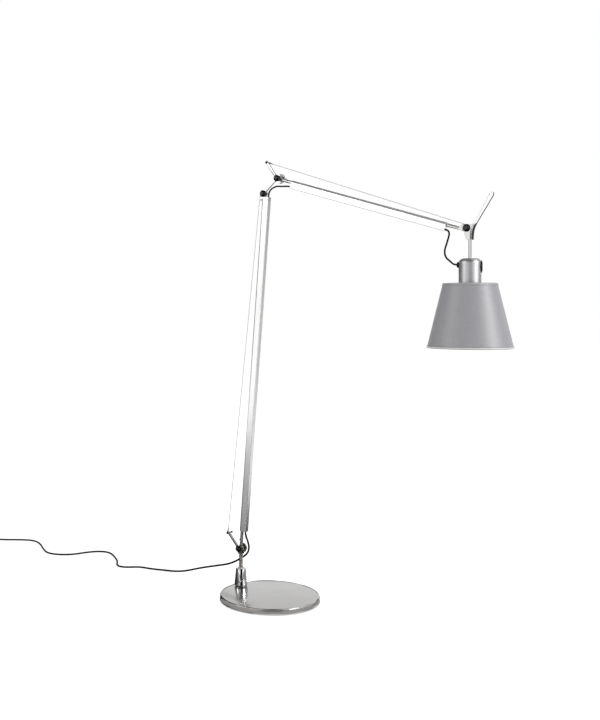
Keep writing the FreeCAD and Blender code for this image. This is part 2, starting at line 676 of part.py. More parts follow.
def make_elbow():
    half = LEVER_WIDTH / 2
    link = box(-half, half, -PLATE_FRONT, -PLATE_BACK, 0, ELBOW_LINK)
    link.rotate(Vector(), Y, ELBOW_LEAN)
    link.translate(ELBOW_LOW)
    plate = link.fuse([lever_bar(ELBOW_HIGH, UPPER_LEVER, UPPER_LEVER_LEAN)])
    for pivot in (ELBOW_LOW, ELBOW_HIGH):
        plate = plate.fuse(disc(pivot, -PLATE_FRONT, -PLATE_BACK, KNOB_HUB_D / 2))
    hole = make_cross_pin("upper", ELBOW_HIGH, UPPER_LEVER, UPPER_LEVER_LEAN, -PLATE_FRONT)
    for pivot in (ELBOW_LOW, ELBOW_HIGH):
        plate = plate.cut(pin_hole(pivot))
    keep("elbow_link", plate.cut(hole))
    spacers = []
    for pivot in (ELBOW_LOW, ELBOW_HIGH):
        ring = disc(pivot, -PLATE_BACK, -EYE_HALF - LAYER_GAP, HUB_SPACER_D / 2)
        spacers.append(ring.cut(pin_hole(pivot)))
    far_ring = disc(ELBOW_HIGH, EYE_HALF + LAYER_GAP, HUB_NEAR, HUB_SPACER_D / 2)
    keep("elbow_spacers", *spacers, far_ring.cut(pin_hole(ELBOW_HIGH)))
    make_knob("elbow_low_knob", ELBOW_LOW)
    make_knob("elbow_high_knob", ELBOW_HIGH)


# ---------------------------------------------------------------- head


def bracket_plate(y0, y1):
    """Side view of the bracket: round at the pivot, its outer edge on the strip's bend, tapering down."""
    r = PADDLE_BEND_R
    top = math.asin((BRACKET_R - PADDLE_BEND_UP) / r)
    spots = []
    for turn in (0, top / 2, top):
        spots.append(Vector(BRACKET_X + r * (1 - math.cos(turn)), 0, PADDLE_BEND_UP + r * math.sin(turn)))
    low_out = Vector(BRACKET_X, 0, -BRACKET_FOOT)
    low_in = Vector(BRACKET_FOOT_X, 0, -BRACKET_FOOT)
    side = math.radians(200)
    shoulder = Vector(BRACKET_R * math.cos(side), 0, BRACKET_R * math.sin(side))
    crown = Vector(0, 0, BRACKET_R)
    edges = [
        Part.LineSegment(low_in, low_out).toShape(),
        Part.LineSegment(low_out, spots[0]).toShape(),
        Part.Arc(*spots).toShape(),
        Part.LineSegment(spots[2], crown).toShape(),
        Part.LineSegment(crown, shoulder).toShape(),
        Part.LineSegment(shoulder, low_in).toShape(),
    ]
    plate = Part.Face(Part.Wire(edges)).extrude(Vector(0, y1 - y0, 0))
    plate.translate(Vector(0, y0, 0))
    return plate.fuse(disc(Vector(), y0, y1, BRACKET_R))


def make_head():
    """Bracket, finger handle and hanger rod, drawn round the head pivot."""
    gap = EYE_HALF + LAYER_GAP
    bridge = bracket_plate(-BRACKET_BRIDGE_HALF, BRACKET_BRIDGE_HALF)
    bridge = bridge.common(box(-20, 20, -20, 20, -BRACKET_FOOT, -BRACKET_BRIDGE))
    bracket = bridge.fuse([bracket_plate(-PLATE_FRONT, -gap), bracket_plate(gap, gap + CHEEK)])
    bracket = bracket.cut(pin_hole(Vector()))
    hanger = Vector(HANGER_X, 0, 0)
    hole_top = hanger - Vector(0, 0, BRACKET_BRIDGE + 1)
    hole = rod(hanger - Vector(0, 0, BRACKET_FOOT + 1), hole_top, HANGER_D / 2)
    bracket = bracket.cut(hole)

    # the strip rises on the bracket's outer edge, bends outwards and widens into the handle
    a = math.radians(PADDLE_ANGLE)
    turn = math.pi / 2 - a
    r = PADDLE_BEND_R
    x0 = BRACKET_X
    start = Vector(x0, 0, -BRACKET_FOOT)
    bend_start = Vector(x0, 0, PADDLE_BEND_UP)
    bend_centre = Vector(x0 + r, 0, PADDLE_BEND_UP)
    bend_mid = bend_centre + Vector(-r * math.cos(turn / 2), 0, r * math.sin(turn / 2))
    bend_end = bend_centre + Vector(-r * math.cos(turn), 0, r * math.sin(turn))
    way = Vector(math.cos(a), 0, math.sin(a))
    side = Vector(math.sin(a), 0, -math.cos(a))
    tip = bend_end + way * PADDLE_LENGTH
    inner_r = r - STRIP
    in_start = bend_centre + Vector(-inner_r, 0, 0)
    in_mid = bend_centre + Vector(-inner_r * math.cos(turn / 2), 0, inner_r * math.sin(turn / 2))
    in_end = bend_centre + Vector(-inner_r * math.cos(turn), 0, inner_r * math.sin(turn))
    in_tip = tip + side * STRIP
    tip_mid = tip + side * (STRIP / 2) + way * (STRIP / 2)
    edges = [
        Part.LineSegment(start, bend_start).toShape(),
        Part.Arc(bend_start, bend_mid, bend_end).toShape(),
        Part.LineSegment(bend_end, tip).toShape(),
        Part.Arc(tip, tip_mid, in_tip).toShape(),
        Part.LineSegment(in_tip, in_end).toShape(),
        Part.Arc(in_end, in_mid, in_start).toShape(),
        Part.LineSegment(in_start, start + Vector(STRIP, 0, 0)).toShape(),
        Part.LineSegment(start + Vector(STRIP, 0, 0), start).toShape(),
    ]
    ribbon = Part.Face(Part.Wire(edges))
    ribbon.translate(Vector(0, -PADDLE_END_WIDTH / 2, 0))
    ribbon = ribbon.extrude(Vector(0, PADDLE_END_WIDTH, 0))
    # outline of the handle seen square on: narrow below, widening to a round end
    narrow = STRIP_WIDTH / 2
    wide = PADDLE_END_WIDTH / 2
    run = PADDLE_LENGTH
    mask_edges = [
        Part.LineSegment(Vector(0, -narrow, -60), Vector(0, -narrow, 6)).toShape(),
        Part.LineSegment(Vector(0, -narrow, 6), Vector(0, -wide, run - wide)).toShape(),
        Part.Arc(Vector(0, -wide, run - wide), Vector(0, 0, run + STRIP / 2),
                 Vector(0, wide, run - wide)).toShape(),
        Part.LineSegment(Vector(0, wide, run - wide), Vector(0, narrow, 6)).toShape(),
        Part.LineSegment(Vector(0, narrow, 6), Vector(0, narrow, -60)).toShape(),
        Part.LineSegment(Vector(0, narrow, -60), Vector(0, -narrow, -60)).toShape(),
    ]
    mask = Part.Face(Part.Wire(mask_edges)).extrude(Vector(90, 0, 0))
    mask.translate(Vector(-45, 0, 0))
    mask.rotate(Vector(), Y, math.degrees(turn))
    mask.translate(bend_end)
    handle = ribbon.common(mask)

    screws = []
    for z in HANDLE_SCREWS_Z:
        screws.append(rod(Vector(x0 + STRIP, 0, z), Vector(x0 + STRIP + 1.0, 0, z), 1.5))
    rod_shape = rod(hanger - Vector(0, 0, HANGER_LENGTH + HANGER_INSIDE),
                    hanger - Vector(0, 0, BRACKET_BRIDGE + 1), HANGER_D / 2)
    nut_top = HANGER_LENGTH + HOLDER_WALL + LAYER_GAP
    nut = rod(hanger - Vector(0, 0, nut_top + HANGER_NUT), hanger - Vector(0, 0, nut_top), HANGER_NUT_D / 2)
    nut = nut.cut(rod(hanger - Vector(0, 0, nut_top + HANGER_NUT), hanger, HANGER_D / 2))
    for shape in [bracket, handle, rod_shape, nut] + screws:
        shape.translate(HEAD_PIVOT)
    keep("head_bracket", bracket)
    keep("head_handle", handle, *screws)
    keep("hanger_rod", rod_shape, nut)
    make_knob("head_knob", HEAD_PIVOT)


# ---------------------------------------------------------------- lamp holder


def holder_axis(z):
    """Point on the holder's axis, at a depth below its top."""
    return HOLDER_TOP - Vector(0, 0, z)


def side_way():
    a = math.radians(HOLDER_TURN)
    return Vector(math.cos(a), math.sin(a), 0)


def oval(at, way, tall, wide, depth):
    """Oval boss that starts at a point and runs along a level direction."""
    flat = Part.Ellipse(Vector(), tall / 2, wide / 2).toShape()
    solid = Part.Face(Part.Wire(flat)).extrude(Vector(0, 0, depth))
    solid.rotate(Vector(), Y, QUARTER)
    solid.rotate(Vector(), Z, math.degrees(math.atan2(way.y, way.x)))
    solid.translate(at)
    return solid


def make_holder():
    r = HOLDER_D / 2
    s = HOLDER_SHOULDER
    w = HOLDER_WALL
    bend = s * (1 - math.sqrt(0.5))
    inner_s = s - w
    inner_bend = inner_s * (1 - math.sqrt(0.5))
    axle_r = HANGER_D / 2 + RUNNING_GAP
    shell = turned([
        (axle_r, 0), (r - s, 0), ((r - bend, -bend), (r, -s)), (r, -HOLDER_LENGTH),
        (r - w, -HOLDER_LENGTH), (r - w, -s),
        ((r - w - inner_bend, -w - inner_bend), (r - s, -w)), (axle_r, -w),
    ], HOLDER_TOP)
    way = side_way()
    gland_at = holder_axis(GLAND_DOWN)
    gland_hole = rod(gland_at, gland_at - way * 30, GLAND_SHANK_D / 2)
    switch_at = holder_axis(SWITCH_DOWN)
    rim_tall = SWITCH_TALL + 2 * SWITCH_RIM
    rim_wide = SWITCH_WIDE + 2 * SWITCH_RIM
    window = oval(switch_at, way, rim_tall, rim_wide, 40)
    keep("holder_shell", shell.cut(gland_hole).cut(window))

    rim_in = r - w - 3.0
    rim = oval(switch_at + way * rim_in, way, rim_tall - 0.1, rim_wide - 0.1, r + SWITCH_RIM_PROUD - rim_in)
    button_hole = oval(switch_at + way * (rim_in + 1.4), way, SWITCH_TALL + 0.5, SWITCH_WIDE + 0.5, 30)
    keep("switch_rim", rim.cut(button_hole))
    button_in = rim_in + 1.4 + SWITCH_TRAVEL + LAYER_GAP
    button = oval(switch_at + way * button_in, way, SWITCH_TALL, SWITCH_WIDE, r + SWITCH_PROUD - button_in)
    outer = max(button.Faces, key=lambda f: (f.CenterOfMass - switch_at).dot(way))
    keep("switch_button", button.makeFillet(SWITCH_ROUND, outer.Edges))
    body = box(-7.0, rim_in, -4.0, 4.0, -8.0, 8.0)
    body = body.common(box(rim_in - 7.0, rim_in, -4.0, 4.0, -8.0, 8.0))
    body.rotate(Vector(), Z, HOLDER_TURN)
    body.translate(switch_at)

    gland_r = GLAND_D / 2
    gland = turned([
        (0, -w - 3.0), (GLAND_SHANK_D / 2 - 0.1, -w - 3.0), (GLAND_SHANK_D / 2 - 0.1, -1.5),
        (gland_r, -1.5), (gland_r, GLAND - 1.4), (gland_r - 1.4, GLAND), (0, GLAND),
    ], gland_at - way * r, way * -1)
    gland = gland.cut(Part.makeCylinder(r, 60, HOLDER_TOP - Vector(0, 0, 60)).cut(gland_hole))
    lead_room = rod(gland_at - way * (r - 5.5), gland_at - way * (r + 9), LEAD_D / 2)
    keep("lead_gland", gland.cut(lead_room))

    sleeve_top = HOLDER_LENGTH + SLEEVE_DROP - SLEEVE_LENGTH
    sleeve_r = SLEEVE_D / 2
    bore_r = SLEEVE_BORE_D / 2
    sleeve = turned([
        (0, -sleeve_top), (sleeve_r - 2.0, -sleeve_top), (sleeve_r, -sleeve_top - 2.0),
        (sleeve_r, -sleeve_top - SLEEVE_LENGTH), (bore_r, -sleeve_top - SLEEVE_LENGTH),
        (bore_r, -sleeve_top - SLEEVE_FLOOR), (0, -sleeve_top - SLEEVE_FLOOR),
    ], HOLDER_TOP)
    neck = rod(holder_axis(SWITCH_DOWN + 9.4), holder_axis(sleeve_top), 6.0)
    keep("socket_sleeve", sleeve.cut(rod(holder_axis(0), holder_axis(sleeve_top), 8.0)))
    contact_z = sleeve_top + SLEEVE_FLOOR
    contact = rod(holder_axis(contact_z + 2.0), holder_axis(contact_z), 4.0)
    thread_bottom = holder_axis(contact_z + THREAD_TO + THREAD_LENGTH)
    thread_top = holder_axis(contact_z + THREAD_TO)
    thread = rod(thread_bottom, thread_top, bore_r)
    thread = thread.cut(rod(thread_bottom, thread_top, BULB_CAP_D / 2 + 0.1))
    keep("socket_contacts", contact, thread)
    terminal = neck.cut(rod(HOLDER_TOP, holder_axis(contact_z), 2.0))
    keep("holder_inside", body, terminal)
    return contact_z


def make_bulb(contact_z):
    cap_top = contact_z + 2.2
    cap_r = BULB_CAP_D / 2
    cap = turned([
        (0, -cap_top), (4.0, -cap_top), (cap_r - 1.0, -cap_top - 3.8), (cap_r, -cap_top - 4.8),
        (cap_r, -cap_top - BULB_CAP), (0, -cap_top - BULB_CAP),
    ], HOLDER_TOP)
    keep("bulb_cap", cap)
    neck_z = -cap_top - BULB_CAP
    ball_r = BULB_D / 2
    tip_z = neck_z - BULB_LENGTH
    ball_z = tip_z + ball_r
    neck_r = BULB_NECK_D / 2
    flare_r = neck_r + 5.4
    flare_z = neck_z - BULB_FLARE
    diagonal = math.sqrt(0.5)
    w = BULB_WALL
    in_r = ball_r - w
    glass = turned([
        (neck_r - 3.0, neck_z), (neck_r, neck_z - 8.0),
        ((flare_r, flare_z), (ball_r, ball_z)),
        ((ball_r * diagonal, ball_z - ball_r * diagonal), (0, tip_z)),
        (0, tip_z + w), ((in_r * diagonal, ball_z - in_r * diagonal), (in_r, ball_z)),
        ((flare_r - w, flare_z), (neck_r - w, neck_z - 8.0)), (neck_r - 3.0 - w, neck_z),
    ], HOLDER_TOP)
    keep("bulb_globe", glass)


def make_shade():
    top_r = SHADE_TOP_D / 2
    bottom_r = SHADE_BOTTOM_D / 2
    z1 = -SHADE_DROP
    z0 = z1 - SHADE_HEIGHT
    cone = turned([
        (bottom_r, z0), (top_r, z1), (top_r - SHADE_WALL, z1), (bottom_r - SHADE_WALL, z0),
    ], HOLDER_TOP)
    keep("shade", cone)
    slope = (bottom_r - top_r) / SHADE_HEIGHT
    wire_r = RING_WIRE_D / 2
    rings = []
    for z, outer_r in ((z1 - wire_r - 0.6, top_r), (z0 + wire_r + 0.6, bottom_r)):
        side = 1 if z > (z0 + z1) / 2 else -1
        inside = outer_r + slope * (wire_r + 0.6) * side - SHADE_WALL - wire_r * 1.05
        rings.append(Part.makeTorus(inside, wire_r, HOLDER_TOP + Vector(0, 0, z)))
    top_ring_r = top_r - SHADE_WALL - wire_r * 1.05 + slope * (wire_r + 0.6)
    seat_z = -HOLDER_LENGTH
    hole_r = SLEEVE_D / 2 + 0.15
    centre_ring = rod(holder_axis(-seat_z + SPIDER_PLATE), holder_axis(-seat_z), CLAMP_RING_D / 2)
    hole = rod(holder_axis(-z0), HOLDER_TOP, hole_r)
    spider = centre_ring
    ring_z = z1 - wire_r - 0.6
    riser_x = HOLDER_D / 2 + RISER_GAP
    arm_half = SPIDER_ARM_WIDTH / 2
    for k in range(3):
        arm = box(riser_x - 1.0, top_ring_r - wire_r * 0.3, -arm_half, arm_half,
                  ring_z - SPIDER_PLATE / 2, ring_z + SPIDER_PLATE / 2)
        riser = box(riser_x, riser_x + SPIDER_PLATE, -arm_half, arm_half, seat_z - SPIDER_PLATE,
                    ring_z + SPIDER_PLATE / 2)
        arm = arm.cut(Part.makeCylinder(riser_x, -z0, Vector(0, 0, z0)))
        lug = box(riser_x - 1.4, riser_x + SPIDER_PLATE, -arm_half, arm_half, seat_z - SPIDER_PLATE, seat_z)
        arm = arm.fuse([riser, lug])
        arm.rotate(Vector(), Z, HOLDER_TURN + 90 + 120 * k)
        arm.translate(HOLDER_TOP)
        spider = spider.fuse(arm)
    keep("shade_frame", spider.fuse(rings[0]).cut(hole), rings[1])
    clamp_top = -seat_z + SPIDER_PLATE
    clamp = rod(holder_axis(clamp_top + CLAMP_RING), holder_axis(clamp_top), CLAMP_RING_D / 2)
    keep("shade_clamp_ring", clamp.cut(hole))


# ---------------------------------------------------------------- leads


def middle(a, b):
    return tuple((Vector(*a) + Vector(*b)) / 2)


def make_leads(mouths):
    low_foot, low_top, up_foot, up_top = mouths
    low_way = lean(1, LOWER_LEAN)
    up_way = lean(1, UPPER_LEAN)

    # neighbouring stretches meet in the middle of a straight run
    loop = [tuple(low_foot), tuple(low_foot - low_way * LEAD_STRAIGHT)] + from_stem(LOOP_ROUTE)
    turn = from_stem(TURN_ROUTE)
    fall = from_stem(FALL_ROUTE)
    loop_end = middle(loop[-1], turn[0])
    turn_end = middle(turn[-1], fall[0])
    keep("lead_loop", tube(loop + [loop_end], MAINS_D, "lead_loop"))
    keep("lead_turn", tube([loop_end] + turn + [turn_end], MAINS_D, "lead_turn"))
    ground = [(x, y, MAINS_D / 2) for x, y in FLOOR_ROUTE]
    keep("mains_cord", tube([turn_end] + fall + ground, MAINS_D, "mains_cord"))

    rise = [tuple(low_top), tuple(low_top + low_way * LEAD_STRAIGHT)]
    rise += [tuple(ELBOW_LOW + Vector(*p)) for p in ELBOW_LEAD_RISE]
    over = [tuple(ELBOW_HIGH + Vector(*p)) for p in ELBOW_LEAD_OVER]
    over += [tuple(up_foot - up_way * LEAD_STRAIGHT), tuple(up_foot)]
    keep("elbow_lead_low", tube(rise + [middle(rise[-1], over[0])], LEAD_D, "elbow_lead_low"))
    keep("elbow_lead_high", tube([middle(rise[-1], over[0])] + over, LEAD_D, "elbow_lead_high"))

    # out of the upper arm, down in a slack S and into the lamp holder's gland
    way = side_way()
    drop = [tuple(up_top), tuple(up_top + up_way * HEAD_LEAD_STRAIGHT)]
    drop += [tuple(HEAD_PIVOT + Vector(*p)) for p in HEAD_LEAD_DROP]
    sweep = [tuple(HEAD_PIVOT + Vector(*p)) for p in HEAD_LEAD_SWEEP]
    for reach in (HOLDER_D / 2 + 8.8, HOLDER_D / 2 - 2.0):
        sweep.append(tuple(holder_axis(GLAND_DOWN) - way * reach))
    keep("head_lead_high", tube(drop + [middle(drop[-1], sweep[0])], LEAD_D, "head_lead_high"))
    keep("head_lead_low", tube([middle(drop[-1], sweep[0])] + sweep, LEAD_D, "head_lead_low"))


def make_coil_and_plug():
    mean_r = COIL_MEAN_D / 2
    band = COIL_BAND / 2
    at = Vector(COIL_X, COIL_Y, 0)
    ring = Part.makeCylinder(mean_r + band, COIL_HEIGHT, at)
    ring = ring.cut(Part.makeCylinder(mean_r - band, COIL_HEIGHT, at))
    ring = ring.makeFillet(2.0, ring.Edges)
    keep("cord_coil", ring)

    plug_at = Vector(*PLUG_AT)
    half_w = PLUG_WIDTH / 2
    half_t = PLUG_TALL / 2
    body = box(0, PLUG_LENGTH, -half_w, half_w, -half_t, half_t)
    body = body.makeFillet(3.0, body.Edges)
    relief_at = Vector(1 - PLUG_RELIEF, 0, 0)
    relief = Part.makeCone(MAINS_D / 2 + 0.9, PLUG_RELIEF_D / 2, PLUG_RELIEF, relief_at, X)
    body = body.fuse(relief)
    bore = rod(Vector(-PLUG_RELIEF, 0, 0), Vector(-PLUG_RELIEF + 7, 0, 0), MAINS_D / 2)
    body = body.cut(bore)
    pins = []
    for side in (-1, 1):
        y = side * PLUG_PIN_SPACING / 2
        body = body.cut(rod(Vector(PLUG_LENGTH - 6, y, 0), Vector(PLUG_LENGTH + 1, y, 0), PLUG_PIN_D / 2))
        pins.append(rod(Vector(PLUG_LENGTH - 6, y, 0), Vector(PLUG_LENGTH + PLUG_PIN, y, 0), PLUG_PIN_D / 2))
    pins = Part.makeCompound(pins)
    for shape in (body, pins):
        shape.rotate(Vector(), Z, PLUG_TURN)
        shape.translate(plug_at)
    keep("plug", body, pins)
    turn = math.radians(PLUG_TURN)
    entry = plug_at - Vector(math.cos(turn), math.sin(turn), 0) * (PLUG_RELIEF - 7)
    leave = (COIL_X - mean_r - band + MAINS_D / 2 + 0.3, COIL_Y - 6.0, COIL_HEIGHT - MAINS_D / 2)
    keep("cord_tail", tube([leave] + TAIL_ROUTE + [tuple(entry)], MAINS_D, "cord_tail"))


def main():
    make_foot()
    make_stem()
    low_channel, low_end = make_arm(
        "lower", LOWER_PIVOT, LOWER_LEAN, LOWER_ARM, 0.0, 0.0, LOWER_START_GAP, LOWER_END_GAP,
        LOWER_SPRING, True, (LOWER_PULLEY_R, LOWER_PULLEY_OUT))
    up_channel, up_end = make_arm(
        "upper", ELBOW_HIGH, UPPER_LEAN, UPPER_ARM, UPPER_END_SHIFT, UPPER_ROD_SHIFT,
        UPPER_START_GAP, UPPER_END_GAP, UPPER_SPRING, False, (UPPER_PULLEY_R, UPPER_PULLEY_OUT))
    make_pivot_pins()
    make_elbow()
    make_head()
    make_wire("lower_wire", LOWER_PIVOT, LOWER_LEVER, LOWER_LEVER_LEAN, LOWER_EYE_Y,
              pulley_centre(ELBOW_LOW, LOWER_LEAN, 0.0, 0.0, LOWER_PULLEY_OUT), LOWER_PULLEY_R)
    make_wire("upper_wire", ELBOW_HIGH, UPPER_LEVER, UPPER_LEVER_LEAN, UPPER_EYE_Y,
              pulley_centre(HEAD_PIVOT, UPPER_LEAN, UPPER_ROD_SHIFT, UPPER_END_SHIFT, UPPER_PULLEY_OUT),
              UPPER_PULLEY_R)
    contact_z = make_holder()
    make_bulb(contact_z)
    make_shade()
    low_foot, low_top = lead_mouths(LOWER_PIVOT, LOWER_LEAN, low_channel, LOWER_START_GAP, low_end)
    up_foot, up_top = lead_mouths(ELBOW_HIGH, UPPER_LEAN, up_channel, UPPER_START_GAP, up_end)
    make_leads((low_foot, low_top, up_foot, up_top))
    make_coil_and_plug()

    os.makedirs("parts", exist_ok=True)
    for name, shape in nodes.items():
        shape.exportStep(os.path.join("parts", name + ".step"))
    print(len(nodes), "nodes")


main()
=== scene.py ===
import math

import bmesh
import bpy
from mathutils import Matrix, Vector


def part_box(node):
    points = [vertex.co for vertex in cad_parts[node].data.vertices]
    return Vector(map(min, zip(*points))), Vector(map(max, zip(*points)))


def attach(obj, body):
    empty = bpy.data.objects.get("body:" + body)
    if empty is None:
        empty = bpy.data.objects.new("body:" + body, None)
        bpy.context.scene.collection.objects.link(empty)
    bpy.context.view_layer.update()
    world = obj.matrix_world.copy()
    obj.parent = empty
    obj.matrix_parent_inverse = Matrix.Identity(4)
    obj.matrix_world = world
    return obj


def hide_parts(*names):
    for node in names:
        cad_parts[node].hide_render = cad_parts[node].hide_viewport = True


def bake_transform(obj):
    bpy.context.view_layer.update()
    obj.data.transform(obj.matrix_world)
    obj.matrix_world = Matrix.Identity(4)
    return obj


# Reading floor lamp with two spring-balanced arms, dressed over its CAD frame. Metres, +Z up.
# Outlines of turned and flat pieces are in millimetres, and MM takes them to metres.

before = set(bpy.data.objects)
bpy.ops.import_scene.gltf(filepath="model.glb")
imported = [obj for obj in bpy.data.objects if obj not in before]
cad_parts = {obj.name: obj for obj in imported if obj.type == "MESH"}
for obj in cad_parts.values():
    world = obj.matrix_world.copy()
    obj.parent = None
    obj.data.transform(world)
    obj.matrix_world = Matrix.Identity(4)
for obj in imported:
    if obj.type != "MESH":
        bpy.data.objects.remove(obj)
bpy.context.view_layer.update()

MM = 0.001
PHI = math.radians(1)

# ---- places, as the CAD frame has them ----
STEM = Vector((-93.2, 13.2, 0)) * MM
LOWER_PIVOT = STEM + Vector((0, 0, 104.5)) * MM
LOWER_LEAN = 4.82
LOWER_ARM = 844.3 * MM
ELBOW_LINK = 50.8 * MM
ELBOW_LEAN = 50.3
UPPER_LEAN = 107.2
UPPER_ARM = 481.9 * MM


def lean(length, angle):
    """Vector of that length in the arms' plane, leaning from straight up towards +X."""
    return Vector((math.sin(angle * PHI), 0, math.cos(angle * PHI))) * length


def across(length, angle):
    """Vector square to an arm that leans by angle, on its inner side."""
    return Vector((math.cos(angle * PHI), 0, -math.sin(angle * PHI))) * length


ELBOW_LOW = LOWER_PIVOT + lean(LOWER_ARM, LOWER_LEAN)
ELBOW_HIGH = ELBOW_LOW + lean(ELBOW_LINK, ELBOW_LEAN)
UPPER_END_SHIFT = -4.3 * MM
UPPER_ROD_SHIFT = 0.9 * MM
HEAD_PIVOT = ELBOW_HIGH + lean(UPPER_ARM, UPPER_LEAN) + across(UPPER_END_SHIFT, UPPER_LEAN)
HANGER_X = 3.4 * MM
HANGER_LENGTH = 61.3 * MM
HOLDER_TOP = HEAD_PIVOT + Vector((HANGER_X, 0, -HANGER_LENGTH))
HOLDER_TURN = 20
HOLDER_WAY = Vector((math.cos(HOLDER_TURN * PHI), math.sin(HOLDER_TURN * PHI), 0))
HOLDER_D = 44.4 * MM
UP = Vector((0, 0, 1))
TO_KNOBS = Vector((0, -1, 0))


# ---- camera ----

def make_camera():
    data = bpy.data.cameras.new("camera")
    data.sensor_fit = "HORIZONTAL"
    data.sensor_width = 36
    data.lens = 58.5
    # the photograph is cropped off-centre: its optical axis lies left of the middle and above it
    data.shift_x = 0.1867
    data.shift_y = -0.09
    data.clip_end = 50
    camera = bpy.data.objects.new("camera", data)
    camera.location = (1.3080, -1.8539, 0.683)
    camera.rotation_euler = (90 * PHI, 0, 40 * PHI)
    bpy.context.collection.objects.link(camera)
    bpy.context.scene.camera = camera


make_camera()


# ---- mesh tools ----

def finished(bm, name, crease=34):
    """The bmesh as a mesh, smooth except over edges sharper than crease degrees."""
    bmesh.ops.recalc_face_normals(bm, faces=bm.faces)
    for face in bm.faces:
        face.smooth = True
    for edge in bm.edges:
        edge.smooth = len(edge.link_faces) == 2 and edge.calc_face_angle(0) < crease * PHI
    mesh = bpy.data.meshes.new(name)
    bm.to_mesh(mesh)
    bm.free()
    return mesh


def eased(points, steps=4):
    """Outline of (x, y) or (x, y, radius) in mm; a corner with a radius becomes an arc."""
    outline = []
    count = len(points)
    for i, point in enumerate(points):
        here = Vector(point[:2])
        if len(point) == 2:
            outline.append(here)
            continue
        back = (Vector(points[i - 1][:2]) - here).normalized()
        ahead = (Vector(points[(i + 1) % count][:2]) - here).normalized()
        half = back.angle(ahead) / 2
        reach = point[2] / math.tan(half)
        middle = here + (back + ahead).normalized() * (point[2] / math.sin(half))
        first = here + back * reach - middle
        last = here + ahead * reach - middle
        for k in range(steps + 1):
            outline.append(middle + first.slerp(last, k / steps))
    return outline


def turned(name, points, at, axis=UP, segments=96, steps=4):
    """Turned piece: a closed outline of (radius, height) in mm, spun about an axis through at."""
    bm = bmesh.new()
    outline = eased(points, steps)
    rings = []
    for radius, height in outline:
        spin = [bm.verts.new((0, 0, height * MM))] if radius < 1e-6 else [
            bm.verts.new((radius * MM * math.cos(a), radius * MM * math.sin(a), height * MM))
            for a in (2 * math.pi * k / segments for k in range(segments))]
        rings.append(spin)
    for i, ring in enumerate(rings):
        other = rings[(i + 1) % len(rings)]
        if len(ring) == 1 and len(other) == 1:
            continue
        for k in range(segments):
            n = (k + 1) % segments
            corners = [ring[k % len(ring)], ring[n % len(ring)], other[n % len(other)], other[k % len(other)]]
            bm.faces.new(list(dict.fromkeys(corners)))
    turn = Vector((0, 0, 1)).rotation_difference(axis).to_matrix().to_4x4()
    bmesh.ops.transform(bm, matrix=Matrix.Translation(at) @ turn, verts=bm.verts)
    return finished(bm, name)


def skin(bm, rings):
    """Faces from each ring of corners to the next, and one over each end."""
    for first, second in zip(rings, rings[1:]):
        for k in range(len(first)):
            n = (k + 1) % len(first)
            bm.faces.new((first[k], first[n], second[n], second[k]))
    bm.faces.new(rings[0])
    bm.faces.new(rings[-1])


def joined(name, *meshes):
    bm = bmesh.new()
    for mesh in meshes:
        bm.from_mesh(mesh)
        bpy.data.meshes.remove(mesh)
    mesh = bpy.data.meshes.new(name)
    bm.to_mesh(mesh)
    bm.free()
    return mesh


def route(name, points, diameter=0.0, resolution=10):
    """One open NURBS spline with these points, in metres, as its control points."""
    curve = bpy.data.curves.new(name, "CURVE")
    curve.dimensions = "3D"
    curve.resolution_u = resolution
    spline = curve.splines.new("NURBS")
    spline.points.add(len(points) - 1)
    for control, point in zip(spline.points, points):
        control.co = (*point, 1)
    spline.order_u = 3
    spline.use_endpoint_u = True
    curve.bevel_depth = diameter / 2
    curve.bevel_resolution = 5
    curve.use_fill_caps = diameter > 0
    curve.twist_smooth = 8
    return curve


def tube(name, points, diameter, resolution=10):
    """Mesh tube along a route."""
    curve = route(name, points, diameter, resolution)
    holder = bpy.data.objects.new(name, curve)
    mesh = bpy.data.meshes.new_from_object(holder)
    bpy.data.objects.remove(holder)
    bpy.data.curves.remove(curve)
    bm = bmesh.new()
    bm.from_mesh(mesh)
    bpy.data.meshes.remove(mesh)
    return finished(bm, name, 50)


def piece(name, data, material, body, *nodes):
    """New visible piece on a CAD body, standing for these CAD nodes."""
    obj = bpy.data.objects.new(name, data)
    bpy.context.collection.objects.link(obj)
    data.materials.append(material)
    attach(obj, body)
    if nodes:
        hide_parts(*nodes)
    return obj


def bending_piece(name, mesh, material, bodies, start, end, *nodes):
    """New visible piece in world place, standing for these CAD nodes; bodies, start and end are not used."""
    obj = bpy.data.objects.new(name, mesh)
    bpy.context.collection.objects.link(obj)
    mesh.materials.append(material)
    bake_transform(obj)
    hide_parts(*nodes)
    return obj


# ---- material tools ----

def linear(colour):
    """sRGB hex, as "#b5b5b5", to the linear colour a shader takes."""
    parts = [int(colour[i:i + 2], 16) / 255 for i in (1, 3, 5)]
    return tuple(c / 12.92 if c <= 0.04045 else ((c + 0.055) / 1.055) ** 2.4 for c in parts) + (1,)


def add(tree, kind, links=(), **settings):
    """One node: settings whose name is a socket go to the socket, the rest are the node's own."""
    node = tree.nodes.new(kind)
    for name, value in settings.items():
        if hasattr(node, name):
            setattr(node, name, value)
    for name, value in settings.items():
        if not hasattr(node, name):
            node.inputs[name.replace("_", " ")].default_value = value
    for source, socket in links:
        tree.links.new(source, node.inputs[socket])
    return node


